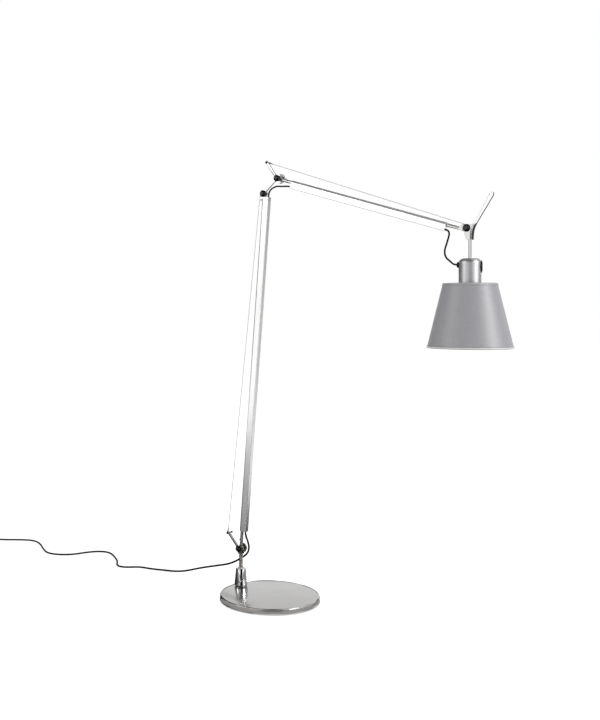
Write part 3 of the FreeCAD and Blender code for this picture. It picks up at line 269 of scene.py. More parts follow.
class Finish:
    """A Principled material that is built up by texture: colour variation, roughness and relief."""

    def __init__(self, name, base, metallic=0.0, roughness=0.5, **more):
        self.material = bpy.data.materials.new(name)
        self.material.use_nodes = True
        self.tree = self.material.node_tree
        self.base = linear(base)
        self.roughness = roughness
        self.shader = self.tree.nodes["Principled BSDF"]
        self.shader.inputs["Base Color"].default_value = self.base
        self.shader.inputs["Metallic"].default_value = metallic
        self.shader.inputs["Roughness"].default_value = roughness
        for socket, value in more.items():
            self.shader.inputs[socket.replace("_", " ")].default_value = value
        self.where = add(self.tree, "ShaderNodeTexCoord")
        self.relief = None

    def grain(self, size_mm, stretch=(1, 1, 1), turn=(0, 0, 0), detail=3.0, coordinate="Object"):
        """Noise with grains of size_mm, drawn longer along an axis by stretch, after a turn in degrees."""
        lay = add(self.tree, "ShaderNodeMapping", [(self.where.outputs[coordinate], "Vector")],
                  vector_type="TEXTURE", Scale=stretch, Rotation=[a * PHI for a in turn])
        noise = add(self.tree, "ShaderNodeTexNoise", [(lay.outputs["Vector"], "Vector")],
                    Scale=1 / (size_mm * MM), Detail=detail)
        return noise.outputs["Fac"]

    def rings(self, spacing_mm, distortion=0.6):
        """Rings round the piece's own Z axis, as turning or spinning leaves them."""
        wave = add(self.tree, "ShaderNodeTexWave", [(self.where.outputs["Object"], "Vector")],
                   wave_type="RINGS", rings_direction="Z", Scale=math.pi / 10 / (spacing_mm * MM),
                   Distortion=distortion, Detail=2.0, Detail_Scale=2.0)
        return wave.outputs["Fac"]

    def spread(self, pattern, low, high):
        ramp = add(self.tree, "ShaderNodeMapRange", [(pattern, "Value")], To_Min=low, To_Max=high)
        return ramp.outputs["Result"]

    def shine(self, pattern, change):
        """Roughness that wanders by change either way."""
        value = self.spread(pattern, max(0.02, self.roughness - change), self.roughness + change)
        self.tree.links.new(value, self.shader.inputs["Roughness"])
        return self

    def tint(self, pattern, colour, most=1.0):
        """Base colour that goes towards another by the pattern."""
        mix = add(self.tree, "ShaderNodeMix", [(self.spread(pattern, 0, most), "Factor")], data_type="RGBA")
        mix.inputs[6].default_value = self.base
        mix.inputs[7].default_value = linear(colour)
        self.tree.links.new(mix.outputs[2], self.shader.inputs["Base Color"])
        return self

    def bump(self, pattern, height_mm, strength=1.0):
        """Relief of that height; a second call lies over the first."""
        links = [(pattern, "Height")]
        if self.relief:
            links.append((self.relief, "Normal"))
        node = add(self.tree, "ShaderNodeBump", links, Strength=strength, Distance=height_mm * MM)
        self.relief = node.outputs["Normal"]
        self.tree.links.new(self.relief, self.shader.inputs["Normal"])
        return self


# ---- finishes ----

def spun_steel():
    """Stainless sheet, spun and satin polished: broad soft reflections and faint rings."""
    finish = Finish("spun_satin_stainless", "#b3b2b1", 1.0, 0.2)
    # the real tool marks are about 0.3 mm apart; drawn at 1.6 mm so that they show
    marks = finish.rings(1.6)
    smears = finish.grain(26)
    finish.shine(smears, 0.05).tint(smears, "#aeadac").bump(marks, 0.003)
    return finish.material


def chrome():
    """Chromium plate over turned steel: a sharp mirror with a few finger smears."""
    finish = Finish("polished_chromium_plate", "#d9d9db", 1.0, 0.05)
    finish.shine(finish.grain(9), 0.03)
    return finish.material


def extruded(name, turn):
    """Extruded aluminium, satin anodised: fine lines along the arm from the die."""
    finish = Finish(name, "#f3f3f2", 1.0, 0.22)
    # die lines of about 0.2 mm, drawn at 0.7 mm across and 90 mm long
    lines = finish.grain(0.7, (1, 1, 130), (0, turn, 0))
    cloud = finish.grain(40)
    finish.shine(lines, 0.03).tint(cloud, "#e8e8e7").bump(lines, 0.002)
    return finish.material


def drawn_steel(name, turn, base="#aaa7a3"):
    """Drawn steel rod, nickel plated: lengthwise draw lines, a slightly warm grey."""
    finish = Finish(name, base, 1.0, 0.24)
    lines = finish.grain(0.5, (1, 1, 90), (0, turn, 0))
    finish.shine(lines, 0.06).tint(finish.grain(12), "#8c8985", 0.4).bump(lines, 0.003)
    return finish.material


def cast_aluminium():
    """Die-cast aluminium, tumbled and lacquered: even and bright, with a fine orange peel."""
    finish = Finish("tumbled_cast_aluminium", "#dededd", 1.0, 0.2)
    peel = finish.grain(0.8)
    finish.shine(finish.grain(5), 0.06).tint(finish.grain(8), "#d2d2d1").bump(peel, 0.006)
    return finish.material


def polished_lever():
    """Cast aluminium levers, polished: the flat stays bright and the rounded edges draw dark lines."""
    finish = Finish("polished_cast_lever", "#c6c6c6", 1.0, 0.14)
    finish.shine(finish.grain(6), 0.04).bump(finish.grain(1.2), 0.003)
    return finish.material


def polished_strip():
    """Aluminium strip, buffed bright: mirror-like with fine lengthwise scratches."""
    finish = Finish("buffed_aluminium_strip", "#e4e4e4", 1.0, 0.12)
    scratches = finish.grain(0.5, (40, 1, 40))
    finish.shine(scratches, 0.05).bump(scratches, 0.003)
    return finish.material


def turned_aluminium():
    """Turned aluminium, satin anodised: soft vertical highlights, tool rings too fine to see."""
    finish = Finish("turned_anodised_aluminium", "#bababc", 1.0, 0.4)
    rings = finish.grain(0.6, (60, 60, 1))
    finish.shine(rings, 0.04).tint(finish.grain(15), "#bbbbbd").bump(rings, 0.004)
    return finish.material


def zinc():
    """Zinc-plated steel: grey with a faint blue and yellow cast in patches."""
    finish = Finish("zinc_plated_steel", "#b3b4b4", 1.0, 0.3)
    finish.shine(finish.grain(1.5), 0.08).tint(finish.grain(2.5), "#aaa89c")
    return finish.material


def black_oxide():
    """Black-oxide steel screws and rings: dark, with a thin oily shine."""
    finish = Finish("black_oxide_steel", "#3c3c3f", 1.0, 0.3)
    finish.shine(finish.grain(1.2), 0.08).tint(finish.grain(2), "#4c4b4a")
    return finish.material


def wire_rope():
    """Stranded steel wire: slanting lines along the twist, drawn with relief and with painted shade in the
    colour.
    """
    finish = Finish("stranded_steel_wire", "#e4e4e4", 1.0, 0.45)
    lay = finish.grain(0.6, (1, 1, 3), (0, 30, 0))
    # the darker tint in slanting lines is painted shade of the twisted strands
    finish.shine(lay, 0.1).tint(lay, "#c4c4c4").bump(lay, 0.02)
    return finish.material


def gloss_phenolic():
    """Moulded thermoset knobs: deep black, glossy, with a soft ripple from the mould."""
    finish = Finish("moulded_gloss_phenolic", "#050505", 0.0, 0.16, Specular_IOR_Level=0.12)
    finish.shine(finish.grain(2), 0.05).bump(finish.grain(3), 0.01)
    return finish.material


def black_nylon():
    """Glass-filled nylon: matt black with a fine grain."""
    finish = Finish("moulded_black_nylon", "#0e0e10", 0.0, 0.38, Specular_IOR_Level=0.3)
    finish.shine(finish.grain(0.9), 0.08).bump(finish.grain(0.5), 0.02)
    return finish.material


def grey_acetal():
    """Acetal rollers and rings: dark grey, waxy."""
    finish = Finish("moulded_grey_acetal", "#3a3a3c", 0.0, 0.32, IOR=1.48)
    finish.shine(finish.grain(1.2), 0.06).tint(finish.grain(3), "#444447")
    return finish.material


def natural_acetal():
    """Natural acetal pulleys: milky white, waxy."""
    finish = Finish("natural_white_acetal", "#dcdcd8", 0.0, 0.34, IOR=1.48)
    finish.shine(finish.grain(1.2), 0.06).tint(finish.grain(3), "#cfcfca")
    return finish.material


def lead_sheath():
    """PVC lead sheath: black, half matt, with faint streaks and dust from handling."""
    finish = Finish("extruded_pvc_sheath", "#060607", 0.0, 0.5, Specular_IOR_Level=0.18)
    streaks = finish.grain(1.6)
    finish.shine(streaks, 0.05).tint(finish.grain(7), "#0f0f10").bump(streaks, 0.008)
    return finish.material


def white_moulding(name, base):
    """Urea or polycarbonate moulding: pale, smooth, a little uneven in gloss."""
    finish = Finish(name, base, 0.0, 0.36, IOR=1.55)
    finish.shine(finish.grain(1.4), 0.06).tint(finish.grain(9), "#dbd8cf")
    return finish.material


def enamel():
    """White powder coat on the shade's wire frame: slight orange peel."""
    finish = Finish("white_powder_coat", "#e2e1de", 0.0, 0.42)
    finish.shine(finish.grain(1), 0.06).bump(finish.grain(0.9), 0.03)
    return finish.material


def opal_glass():
    """Opal glass bulb: milky white with a soft gloss."""
    finish = Finish("opal_bulb_glass", "#efede7", 0.0, 0.16, IOR=1.5)
    finish.shine(finish.grain(12), 0.03).tint(finish.grain(20), "#e8e5dc")
    return finish.material


def natural_rubber():
    """Moulded rubber: matt, dusty black."""
    finish = Finish("moulded_rubber", "#1c1c1c", 0.0, 0.78)
    finish.shine(finish.grain(2), 0.1).tint(finish.grain(4), "#2a2a29").bump(finish.grain(0.7), 0.05)
    return finish.material


def grey_iron():
    """Sand-cast iron, painted dark: a coarse grain under the paint."""
    finish = Finish("painted_cast_iron", "#36363a", 0.2, 0.6)
    finish.shine(finish.grain(3), 0.1).tint(finish.grain(6), "#2b2b2e").bump(finish.grain(1.4), 0.15)
    return finish.material


def brass():
    """Stamped brass contacts: warm, a little tarnished."""
    finish = Finish("stamped_brass", "#c8a45e", 1.0, 0.3)
    finish.shine(finish.grain(1.5), 0.1).tint(finish.grain(3), "#9c7d45")
    return finish.material


def nickel():
    """Nickel-plated brass: bulb cap and plug pins."""
    finish = Finish("nickel_plated_brass", "#c2bfb8", 1.0, 0.2)
    finish.shine(finish.grain(2), 0.06).tint(finish.grain(3), "#b1aca2")
    return finish.material


def spring_steel():
    """Oiled spring wire: dark grey with a dull shine."""
    finish = Finish("oiled_spring_steel", "#77777a", 1.0, 0.36)
    finish.shine(finish.grain(1), 0.1).tint(finish.grain(2), "#5d5d60")
    return finish.material


def shade_cloth(name, base, slub, threads=(1.1, 0.9)):
    """Woven cloth on a stiff backing, fibre unknown; its broad shine is set to match the photograph."""
    finish = Finish(name, base, 0.0, 0.46, Specular_IOR_Level=0.9)
    # the real threads are about 0.4 mm apart; drawn at about 1 mm so that the weave shows
    round_way = finish.grain(1.0, (26, threads[0], 1), coordinate="UV")
    up_way = finish.grain(1.0, (threads[1], 22, 1), coordinate="UV")
    both = add(finish.tree, "ShaderNodeMath", [(round_way, 0), (up_way, 1)], operation="MULTIPLY")
    finish.tint(both.outputs[0], slub, 1.6).bump(both.outputs[0], 0.25)
    finish.shine(finish.grain(3), 0.06)
    return finish.material


def shade_liner():
    """Styrene backing inside the shade: white, smooth and matt."""
    finish = Finish("styrene_shade_backing", "#e6e5e2", 0.0, 0.55)
    finish.shine(finish.grain(8), 0.05).tint(finish.grain(30), "#dddbd6")
    return finish.material


SPUN_STEEL = spun_steel()
CHROME = chrome()
LOWER_ALUMINIUM = extruded("extruded_aluminium_lower", LOWER_LEAN)
UPPER_ALUMINIUM = extruded("extruded_aluminium_upper", UPPER_LEAN)
STEM_STEEL = drawn_steel("drawn_steel_upright", 0)
LOWER_STEEL = drawn_steel("drawn_steel_lower", LOWER_LEAN)
# the upper rod gets a copy of the same rod finish with a lighter base colour
UPPER_STEEL = drawn_steel("drawn_steel_upper", UPPER_LEAN, "#dad9d8")
CAST = cast_aluminium()
LEVER = polished_lever()
STRIP = polished_strip()
HOLDER = turned_aluminium()
ZINC = zinc()
DARK_STEEL = black_oxide()
WIRE = wire_rope()
PHENOLIC = gloss_phenolic()
NYLON = black_nylon()
ACETAL = grey_acetal()
PULLEY = natural_acetal()
SHEATH = lead_sheath()
BUSH = white_moulding("moulded_white_nylon", "#e4e2dc")
PORCELAIN = white_moulding("moulded_white_urea", "#e9e7e1")
ENAMEL = enamel()
OPAL = opal_glass()
RUBBER = natural_rubber()
IRON = grey_iron()
BRASS = brass()
NICKEL = nickel()
SPRING = spring_steel()
CLOTH = shade_cloth("woven_shade_cloth", "#abaaae", "#8d8c91")
TRIM = shade_cloth("woven_shade_trim", "#a6a5a9", "#858489", (0.8, 1.4))
LINER = shade_liner()

NODE_FINISH = {
    "base_cover": SPUN_STEEL, "base_weight": IRON, "foot_pad": RUBBER, "socket_screw": ZINC,
    "stem_socket": CHROME, "stem_bush": BUSH, "mains_cord": SHEATH, "cord_coil": SHEATH, "cord_tail": SHEATH,
    "plug": NYLON, "stem": STEM_STEEL, "lower_lever": CAST, "lower_cross_pin": NYLON, "lower_pivot_pin": CAST,
    "lead_turn": SHEATH, "lower_profile": LOWER_ALUMINIUM, "lower_foot_rod": LOWER_STEEL,
    "lower_arm_pins": ZINC, "lower_end_fitting": CAST, "lower_pulley": PULLEY, "lower_spring": SPRING,
    "lower_lead": SHEATH, "lower_wire": WIRE, "lead_loop": SHEATH, "elbow_link": CAST, "elbow_pins": CAST,
    "elbow_spacers": ACETAL, "upper_cross_pin": NYLON, "elbow_lead_low": SHEATH,
    "upper_profile": UPPER_ALUMINIUM, "upper_foot_rod": UPPER_STEEL, "upper_arm_pins": ZINC,
    "upper_end_fitting": CAST, "upper_pulley": PULLEY, "upper_spring": SPRING, "upper_lead": SHEATH,
    "upper_wire": WIRE, "elbow_lead_high": SHEATH, "head_bracket": CAST, "head_handle": STRIP,
    "hanger_rod": CHROME, "head_pivot_pin": ZINC, "head_lead_high": SHEATH, "holder_shell": HOLDER,
    "switch_rim": NYLON, "holder_inside": PORCELAIN, "lead_gland": NYLON, "socket_sleeve": PORCELAIN,
    "socket_contacts": BRASS, "bulb_cap": NICKEL, "bulb_globe": OPAL, "shade": CLOTH, "shade_frame": ENAMEL,
    "shade_clamp_ring": PORCELAIN, "head_lead_low": SHEATH, "switch_button": NYLON, "lower_knob": PHENOLIC,
    "elbow_low_knob": PHENOLIC, "elbow_high_knob": PHENOLIC, "head_knob": PHENOLIC,
}

for name, finish in NODE_FINISH.items():
    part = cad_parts[name]
    for material_slot in part.material_slots:
        material_slot.material = finish
    if not part.material_slots:
        part.data.materials.append(finish)


# ---- mains lead ----

MAINS_D = 4.6 * MM
# from behind the stem down to the floor, measured from the stem's foot, in mm
FALL_ROUTE = [
    (-3.5, 13.0, 80.4), (-11.0, 13.4, 75.4), (-27.0, 13.4, 65.4), (-50.0, 13.0, 54.8), (-88.0, 12.0, 44.6),
    (-138.0, 12.4, 30.4), (-186.0, 14.6, 14.0), (-226.0, 19.6, 5.0),
]
# on the floor, measured from the middle of the foot, in mm
FLOOR_ROUTE = [
    (-352.0, 33.0), (-388.0, 19.0), (-424.0, 16.0), (-452.0, -15.0), (-480.0, -15.0),
    (-508.0, 19.0), (-552.0, 50.0), (-590.0, 71.0), (-620.0, 62.0), (-640.0, 30.0),
    (-650.0, -10.0), (-682.0, -38.0), (-718.0, -44.0), (-758.0, -22.0), (-812.0, 14.0),
    (-852.0, 28.0), (-888.0, 12.0), (-930.0, -24.0), (-970.0, -39.0), (-997.0, -41.5),
]
COIL = Vector((-1008.0, -77.0, 0)) * MM
COIL_OUTER = 35.1 * MM
COIL_INNER = 20.9 * MM
COIL_LOW = MAINS_D / 2
COIL_HIGH = 7.5 * MM
COIL_TURNS = 3.0
COIL_CLIMB = 0.25
COIL_STEPS = 20
TAIL_ROUTE = [(-1045.6, -98.0, 7.3), (-1046.19, -114.06, 8.1), (-1046.7, -121.4, 8.1), (-1047.5, -133.0, 8.1)]
PLUG = Vector((-1048.0, -140.0, 8.1)) * MM
PLUG_TURN = 266


def coil_turns():
    """Two layers of turns: inwards on the floor, a short climb at the middle, outwards on top."""
    points = []
    total = 2 * COIL_TURNS + COIL_CLIMB
    for k in range(round(total * COIL_STEPS) + 1):
        done = k / COIL_STEPS
        inwards = min(done, COIL_TURNS) / COIL_TURNS
        climb = min(max(done - COIL_TURNS, 0), COIL_CLIMB) / COIL_CLIMB
        outwards = max(done - COIL_TURNS - COIL_CLIMB, 0) / COIL_TURNS
        radius = COIL_OUTER - (COIL_OUTER - COIL_INNER) * (inwards - outwards)
        a = math.pi / 2 + 2 * math.pi * done
        height = COIL_LOW + (COIL_HIGH - COIL_LOW) * climb
        points.append(COIL + Vector((radius * math.cos(a), radius * math.sin(a), height)))
    return points


def make_plug():
    """Rounded two-pin plug with a ribbed grip and a ringed strain relief."""
    way = Vector((math.cos(PLUG_TURN * PHI), math.sin(PLUG_TURN * PHI), 0))
    side = UP.cross(way)
    # distance along the plug, half width, half height, in mm
    sections = [(0, 5.4, 4.8), (1.4, 7.0, 5.8), (6, 9.6, 6.9), (12, 11.8, 7.7)]
    for k in range(6):
        at = 14 + 2.4 * k
        sections += [(at, 12.6, 7.9), (at + 0.7, 12.1, 7.6), (at + 1.3, 12.1, 7.6), (at + 1.9, 12.6, 7.9)]
    sections += [(30, 12.9, 8.0), (34.6, 12.9, 8.0), (35.6, 12.4, 7.6), (36, 11.6, 6.8)]
    count = 48
    bm = bmesh.new()
    rings = []
    for along, half_width, half_height in sections:
        ring = []
        for k in range(count):
            a = 2 * math.pi * k / count
            # a squared-off oval: the fourth root keeps the sides flat and the corners round
            reach = (abs(math.cos(a)) ** 4 + abs(math.sin(a)) ** 4) ** -0.25
            offset = side * (half_width * reach * math.cos(a)) + UP * (half_height * reach * math.sin(a))
            ring.append(bm.verts.new(PLUG + (way * along + offset) * MM))
        rings.append(ring)
    skin(bm, rings)
    body = finished(bm, "plug_body")
    outline = [(0, 1), (5.2, 1, 0.6)]
    for k in range(7):
        radius = 4.9 - 0.28 * k
        outline += [(radius, -1.2 - 3.2 * k), (radius, -3.0 - 3.2 * k), (radius - 0.5, -3.3 - 3.2 * k),
                    (radius - 0.5, -4.1 - 3.2 * k)]
    outline += [(2.9, -24.2), (2.5, -25.0), (0, -25.0)]
    relief = turned("plug_relief", outline, PLUG, way, 40)
    plug = piece("plug_body", joined("plug_body", body, relief), NYLON, "base", "plug")
    pins = []
    for sign in (-1, 1):
        at = PLUG + (way * 35.6 + side * 9.5 * sign) * MM
        pins.append(turned("plug_pin", [(0, 0), (2, 0), (2, 19, 1.6), (0, 19)], at, way, 32))
    metal = piece("plug_pins", joined("plug_pins", *pins), NICKEL, "base")
    return [plug, metal]


def make_mains_lead():
    points = [STEM + Vector(p) * MM for p in FALL_ROUTE]
    points += [Vector((x * MM, y * MM, MAINS_D / 2)) for x, y in FLOOR_ROUTE]
    points += coil_turns()
    points += [Vector(p) * MM for p in TAIL_ROUTE]
    curve = route("mains_lead", points, MAINS_D, 8)
    lead = piece("mains_lead", curve, SHEATH, "base", "mains_cord", "cord_coil", "cord_tail")
    make_plug()


make_mains_lead()


# ---- leads of the arms ----

LEAD_D = 3.8 * MM
LEAD_CHANNEL = 9.9 * MM
LOWER_START = 42.7 * MM
LOWER_END = LOWER_ARM - 6.5 * MM
UPPER_START = 40.0 * MM
UPPER_END = UPPER_ARM - 45.2 * MM
LEAD_STRAIGHT = 8.0 * MM
HEAD_LEAD_STRAIGHT = 9.0 * MM
# in mm, from the stem's foot, from the elbow's two pivots and from the head pivot
LOOP_ROUTE = [(19.6, 1.4, 123.0), (21.6, 3.6, 108.6)]
TURN_ROUTE = [(15.0, 8.0, 95.4), (4.0, 12.6, 85.4)]
ELBOW_LEAD_RISE = [(15.6, 0.0, 9.4)]
ELBOW_LEAD_OVER = [(-8.6, 0.0, -17.0), (7.0, 0.0, -18.6)]
HEAD_LEAD_DROP = [(-44.4, -1.6, -25.6), (-50.2, -3.6, -44.0)]
HEAD_LEAD_SWEEP = [(-47.0, -4.8, -57.6), (-35.6, -6.4, -66.4)]
GLAND_DOWN = 12.6 * MM


def from_point(origin, points):
    return [origin + Vector(p) * MM for p in points]


def make_lead(name, points, diameter, bodies, node):
    bending_piece(name, tube(name, points, diameter), SHEATH, bodies, points[0], points[-1], node)


def make_leads():
    low_way = lean(1, LOWER_LEAN)
    up_way = lean(1, UPPER_LEAN)
    low_foot = LOWER_PIVOT + across(LEAD_CHANNEL, LOWER_LEAN) + lean(LOWER_START, LOWER_LEAN)
    low_top = LOWER_PIVOT + across(LEAD_CHANNEL, LOWER_LEAN) + lean(LOWER_END, LOWER_LEAN)
    up_out = across(LEAD_CHANNEL + UPPER_ROD_SHIFT, UPPER_LEAN)
    up_foot = ELBOW_HIGH + up_out + lean(UPPER_START, UPPER_LEAN)
    up_top = ELBOW_HIGH + up_out + lean(UPPER_END, UPPER_LEAN)

    loop = [low_foot, low_foot - low_way * LEAD_STRAIGHT] + from_point(STEM, LOOP_ROUTE)
    turn = from_point(STEM, TURN_ROUTE)
    fall = STEM + Vector(FALL_ROUTE[0]) * MM
    loop.append(loop[-1].lerp(turn[0], 0.5))
    make_lead("foot_lead_loop", loop, MAINS_D, ("lower_arm", "stem"), "lead_loop")
    turn = [loop[-1]] + turn + [fall]
    make_lead("foot_lead_turn", turn, MAINS_D, ("stem", "base"), "lead_turn")

    rise = [low_top, low_top + low_way * LEAD_STRAIGHT] + from_point(ELBOW_LOW, ELBOW_LEAD_RISE)
    over = from_point(ELBOW_HIGH, ELBOW_LEAD_OVER) + [up_foot - up_way * LEAD_STRAIGHT, up_foot]
    meet = rise[-1].lerp(over[0], 0.5)
    rise.append(meet)
    over.insert(0, meet)
    make_lead("elbow_lead_rise", rise, LEAD_D, ("lower_arm", "elbow"), "elbow_lead_low")
    make_lead("elbow_lead_over", over, LEAD_D, ("elbow", "upper_arm"), "elbow_lead_high")

    drop = [up_top, up_top + up_way * HEAD_LEAD_STRAIGHT] + from_point(HEAD_PIVOT, HEAD_LEAD_DROP)
    sweep = from_point(HEAD_PIVOT, HEAD_LEAD_SWEEP)
    gland = HOLDER_TOP - UP * GLAND_DOWN
    for reach in (HOLDER_D / 2 + 8.8 * MM, HOLDER_D / 2 - 2.0 * MM):
        sweep.append(gland - HOLDER_WAY * reach)
    meet = drop[-1].lerp(sweep[0], 0.5)
    drop.append(meet)
    sweep.insert(0, meet)
    make_lead("head_lead_drop", drop, LEAD_D, ("upper_arm", "head"), "head_lead_high")
    make_lead("head_lead_sweep", sweep, LEAD_D, ("head", "lamp_holder"), "head_lead_low")


make_leads()


# ---- balance wires ----

PLATE_FRONT = 9.6 * MM
LAYER_GAP = 0.3 * MM
WIRE_EYE = 2.4 * MM
WIRE_D = 1.4 * MM
CROSS_PIN_IN = 3.0 * MM
PULLEY_DOWN = 9.4 * MM
PULLEY_Y = -1.3 * MM
# levers: reach from the pivot to the tip, and lean
LOWER_LEVER = 48.4 * MM
LOWER_LEVER_LEAN = -42.4
UPPER_LEVER = 51.6 * MM
UPPER_LEVER_LEAN = -36.3
# middle of each wire's eye, and each pulley's place across the arm and radius
LOWER_EYE_Y = -PLATE_FRONT - LAYER_GAP - WIRE_EYE
UPPER_EYE_Y = 2.0 * MM - LAYER_GAP - WIRE_EYE
LOWER_PULLEY_IN = -7.3 * MM
LOWER_PULLEY_R = 6.6 * MM
UPPER_PULLEY_IN = UPPER_ROD_SHIFT - UPPER_END_SHIFT - 5.7 * MM
UPPER_PULLEY_R = 5.2 * MM
# share of the wire's length given as the end of its bend; nothing here bends the wire
WIRE_BEND = 0.16


def make_wire(name, lever_pivot, lever, lever_lean, eye_y, arm_end, arm_lean, pulley_in, pulley_r,
              bodies, node):
    """Wire from an eye on the lever's cross pin, with a ferrule, straight to the pulley's outer side."""
    pin = lever_pivot + lean(lever - CROSS_PIN_IN, lever_lean)
    start = pin + Vector((0, eye_y + WIRE_EYE / 2, 0))
    hub = arm_end + lean(-PULLEY_DOWN, arm_lean) + across(pulley_in, arm_lean) + Vector((0, PULLEY_Y, 0))
    span = hub - start
    flat = math.hypot(span.x, span.z)
    tilt = (math.atan2(span.x, span.z) - math.asin(pulley_r / flat)) / PHI
    touch = hub - across(pulley_r, tilt)
    way = (touch - start).normalized()
    points = [start.lerp(touch, share) for share in (0, 0.006, 0.02, 0.04, 0.07, 0.11, 0.16, 0.3, 0.6, 1)]
    points[0] = start + way * 2.6 * MM
    strand = tube(name, points, WIRE_D, 8)
    ferrule = turned(name, [(0, 4.5), (1.3, 4.5, 0.3), (1.5, 5.6), (1.5, 9.4), (1.3, 10.5, 0.3), (0, 10.5)],
                     start, way, 24)
    bend = math.pi / 8
    loop = [(2.2 + 0.6 * math.cos(k * bend), 0.6 * math.sin(k * bend)) for k in range(16)]
    eye = turned(name, loop, start, TO_KNOBS, 40)
    thimble = turned(name, [(1.35, -1.1), (1.7, -1.1), (1.6, 0), (1.7, 1.1), (1.35, 1.1)], start,
                     TO_KNOBS, 32)
    bending_piece(name, joined(name, strand, ferrule, eye, thimble), WIRE, bodies, start,
                  start.lerp(touch, WIRE_BEND), node)


make_wire("lower_balance_wire", LOWER_PIVOT, LOWER_LEVER, LOWER_LEVER_LEAN, LOWER_EYE_Y, ELBOW_LOW, LOWER_LEAN,
          LOWER_PULLEY_IN, LOWER_PULLEY_R, ("stem", "lower_arm"), "lower_wire")
make_wire("upper_balance_wire", ELBOW_HIGH, UPPER_LEVER, UPPER_LEVER_LEAN, UPPER_EYE_Y, HEAD_PIVOT, UPPER_LEAN,
          UPPER_PULLEY_IN, UPPER_PULLEY_R, ("elbow", "upper_arm"), "upper_wire")


# ---- foot ----

def make_foot():
    cover = turned("foot_cover", [
        (0, 15.3), (115, 15.3, 1.6), (115, 2.0, 0.3), (113.5, 2.0, 0.3), (113.5, 13.8, 0.8), (0, 13.8),
    ], Vector(), UP, 256, 6)
    piece("foot_cover", cover, SPUN_STEEL, "base", "base_cover")
    rim = turned("foot_cover_rim", [
        (112.9, 15.0), (112.9, 15.36), (115.06, 15.36, 1.62), (115.06, 13.2), (114.7, 13.2),
        (114.7, 14.2, 0.8),
    ], Vector(), UP, 256, 6)
    piece("foot_cover_rim", rim, STRIP, "base")
    cone = turned("stem_socket_cone", [
        (5.8, 15.4), (13.5, 15.4, 0.4), (16.0, 18.9, 1.4), (11.6, 56.2, 0.8), (10.6, 57.0, 0.5), (5.8, 57.0),
    ], STEM, UP, 128, 6)
    piece("stem_socket_cone", cone, CHROME, "base", "stem_socket")


make_foot()


# ---- link and levers ----

BAR_HALF = 3.5
BAR_NEAR = 9.6
BAR_FAR = 6.2
BAR_EASE = 1.7


def bar(name, start, end):
    """Flat bar between two points, with round ends and its long edges rounded over."""
    way = (end - start).normalized()
    side = way.cross(TO_KNOBS)
    bm = bmesh.new()
    quarter = [math.pi / 2 * k / 6 for k in range(7)]
    layers = [(BAR_EASE * (1 - math.sin(a)), BAR_NEAR - BAR_EASE * (1 - math.cos(a))) for a in quarter]
    layers += [(BAR_EASE * (1 - math.cos(a)), BAR_FAR + BAR_EASE * (1 - math.sin(a))) for a in quarter]
    rings = []
    for inset, depth in layers:
        radius = (BAR_HALF - inset) * MM
        ring = []
        for centre, first in ((end, 0), (start, 180)):
            for k in range(25):
                a = (first + 180 * k / 24) * PHI
                ring.append(bm.verts.new(centre + side * radius * math.cos(a) + way * radius * math.sin(a)
                                         + TO_KNOBS * depth * MM))
        rings.append(ring)
    skin(bm, rings)
    return finished(bm, name, 50)


def boss(name, at):
    """Round washer face of a bar where a knob clamps it."""
    outline = [(2.6, BAR_FAR), (4.5, BAR_FAR), (4.5, BAR_NEAR, 0.3), (2.6, BAR_NEAR)]
    return turned(name, outline, at, TO_KNOBS, 48)


def make_bars():
    tip = LOWER_PIVOT + lean(LOWER_LEVER, LOWER_LEVER_LEAN)
    lever = joined("lower_lever_bar", bar("lever", LOWER_PIVOT, tip), boss("hub", LOWER_PIVOT))
    piece("lower_lever_bar", lever, LEVER, "stem", "lower_lever")
    tip = ELBOW_HIGH + lean(UPPER_LEVER, UPPER_LEVER_LEAN)
    parts = [bar("link", ELBOW_LOW, ELBOW_HIGH), bar("lever", ELBOW_HIGH, tip), boss("low", ELBOW_LOW),
             boss("high", ELBOW_HIGH)]
    piece("elbow_bars", joined("elbow_bars", *parts), LEVER, "elbow", "elbow_link")


make_bars()


# ---- knobs ----

KNOB_BACK = 9.9
KNOB_SPOTS = {
    "lower_knob": LOWER_PIVOT, "elbow_low_knob": ELBOW_LOW, "elbow_high_knob": ELBOW_HIGH,
    "head_knob": HEAD_PIVOT,
}


def slab(name, outline, at, near, far):
    """Flat piece square to the knobs' axis, its outline in mm across and up, between two depths in mm."""
    bm = bmesh.new()
    layers = []
    for depth in (near, far):
        layers.append([bm.verts.new(at + Vector((p.x, -depth, p.y)) * MM) for p in outline])
    skin(bm, layers)
    return finished(bm, name)


def make_knob(name, pivot):
    """Glossy knob with a rolled edge, a bright ring let into its face and a slotted screw in the middle."""
    at = pivot + TO_KNOBS * KNOB_BACK * MM
    cap = turned(name + "_cap", [
        (2.3, 0), (6.3, 0, 0.5), (7.2, 1.2, 0.4), (7.2, 5.8, 2.2), (3.5, 5.6, 0.2), (3.2, 4.8, 0.1),
        (2.3, 4.8),
    ], at, TO_KNOBS, 72, 6)
    piece(name + "_cap", cap, PHENOLIC, name, name)
    ring = turned(name + "_ring", [(2.9, 4.7), (3.6, 5.3), (3.6, 5.75, 0.15), (3.0, 5.75, 0.15)], at,
                  TO_KNOBS, 48)
    piece(name + "_ring", ring, DARK_STEEL, name)
    bm = bmesh.new()
    bm.from_mesh(turned("blank", [(0, 0), (2.25, 0), (2.25, 4.9, 0.3), (0, 4.9)], at, TO_KNOBS, 40))
    screw = finished(bm, name + "_screw")
    # two half rounds stand on the screw's head and leave the slot between them
    halves = []
    for sign in (-1, 1):
        outline = []
        edge = math.asin(0.45 / 2.2)
        for k in range(17):
            a = edge + (math.pi - 2 * edge) * k / 16
            outline.append(Vector((2.2 * math.cos(a), 2.2 * math.sin(a))) * sign)
        halves.append(slab(name + "_screw", outline, at, 4.8, 5.5))
    piece(name + "_screw", joined(name + "_screw", screw, *halves), DARK_STEEL, name)


for knob, pivot in KNOB_SPOTS.items():
    make_knob(knob, pivot)


# ---- head handle ----

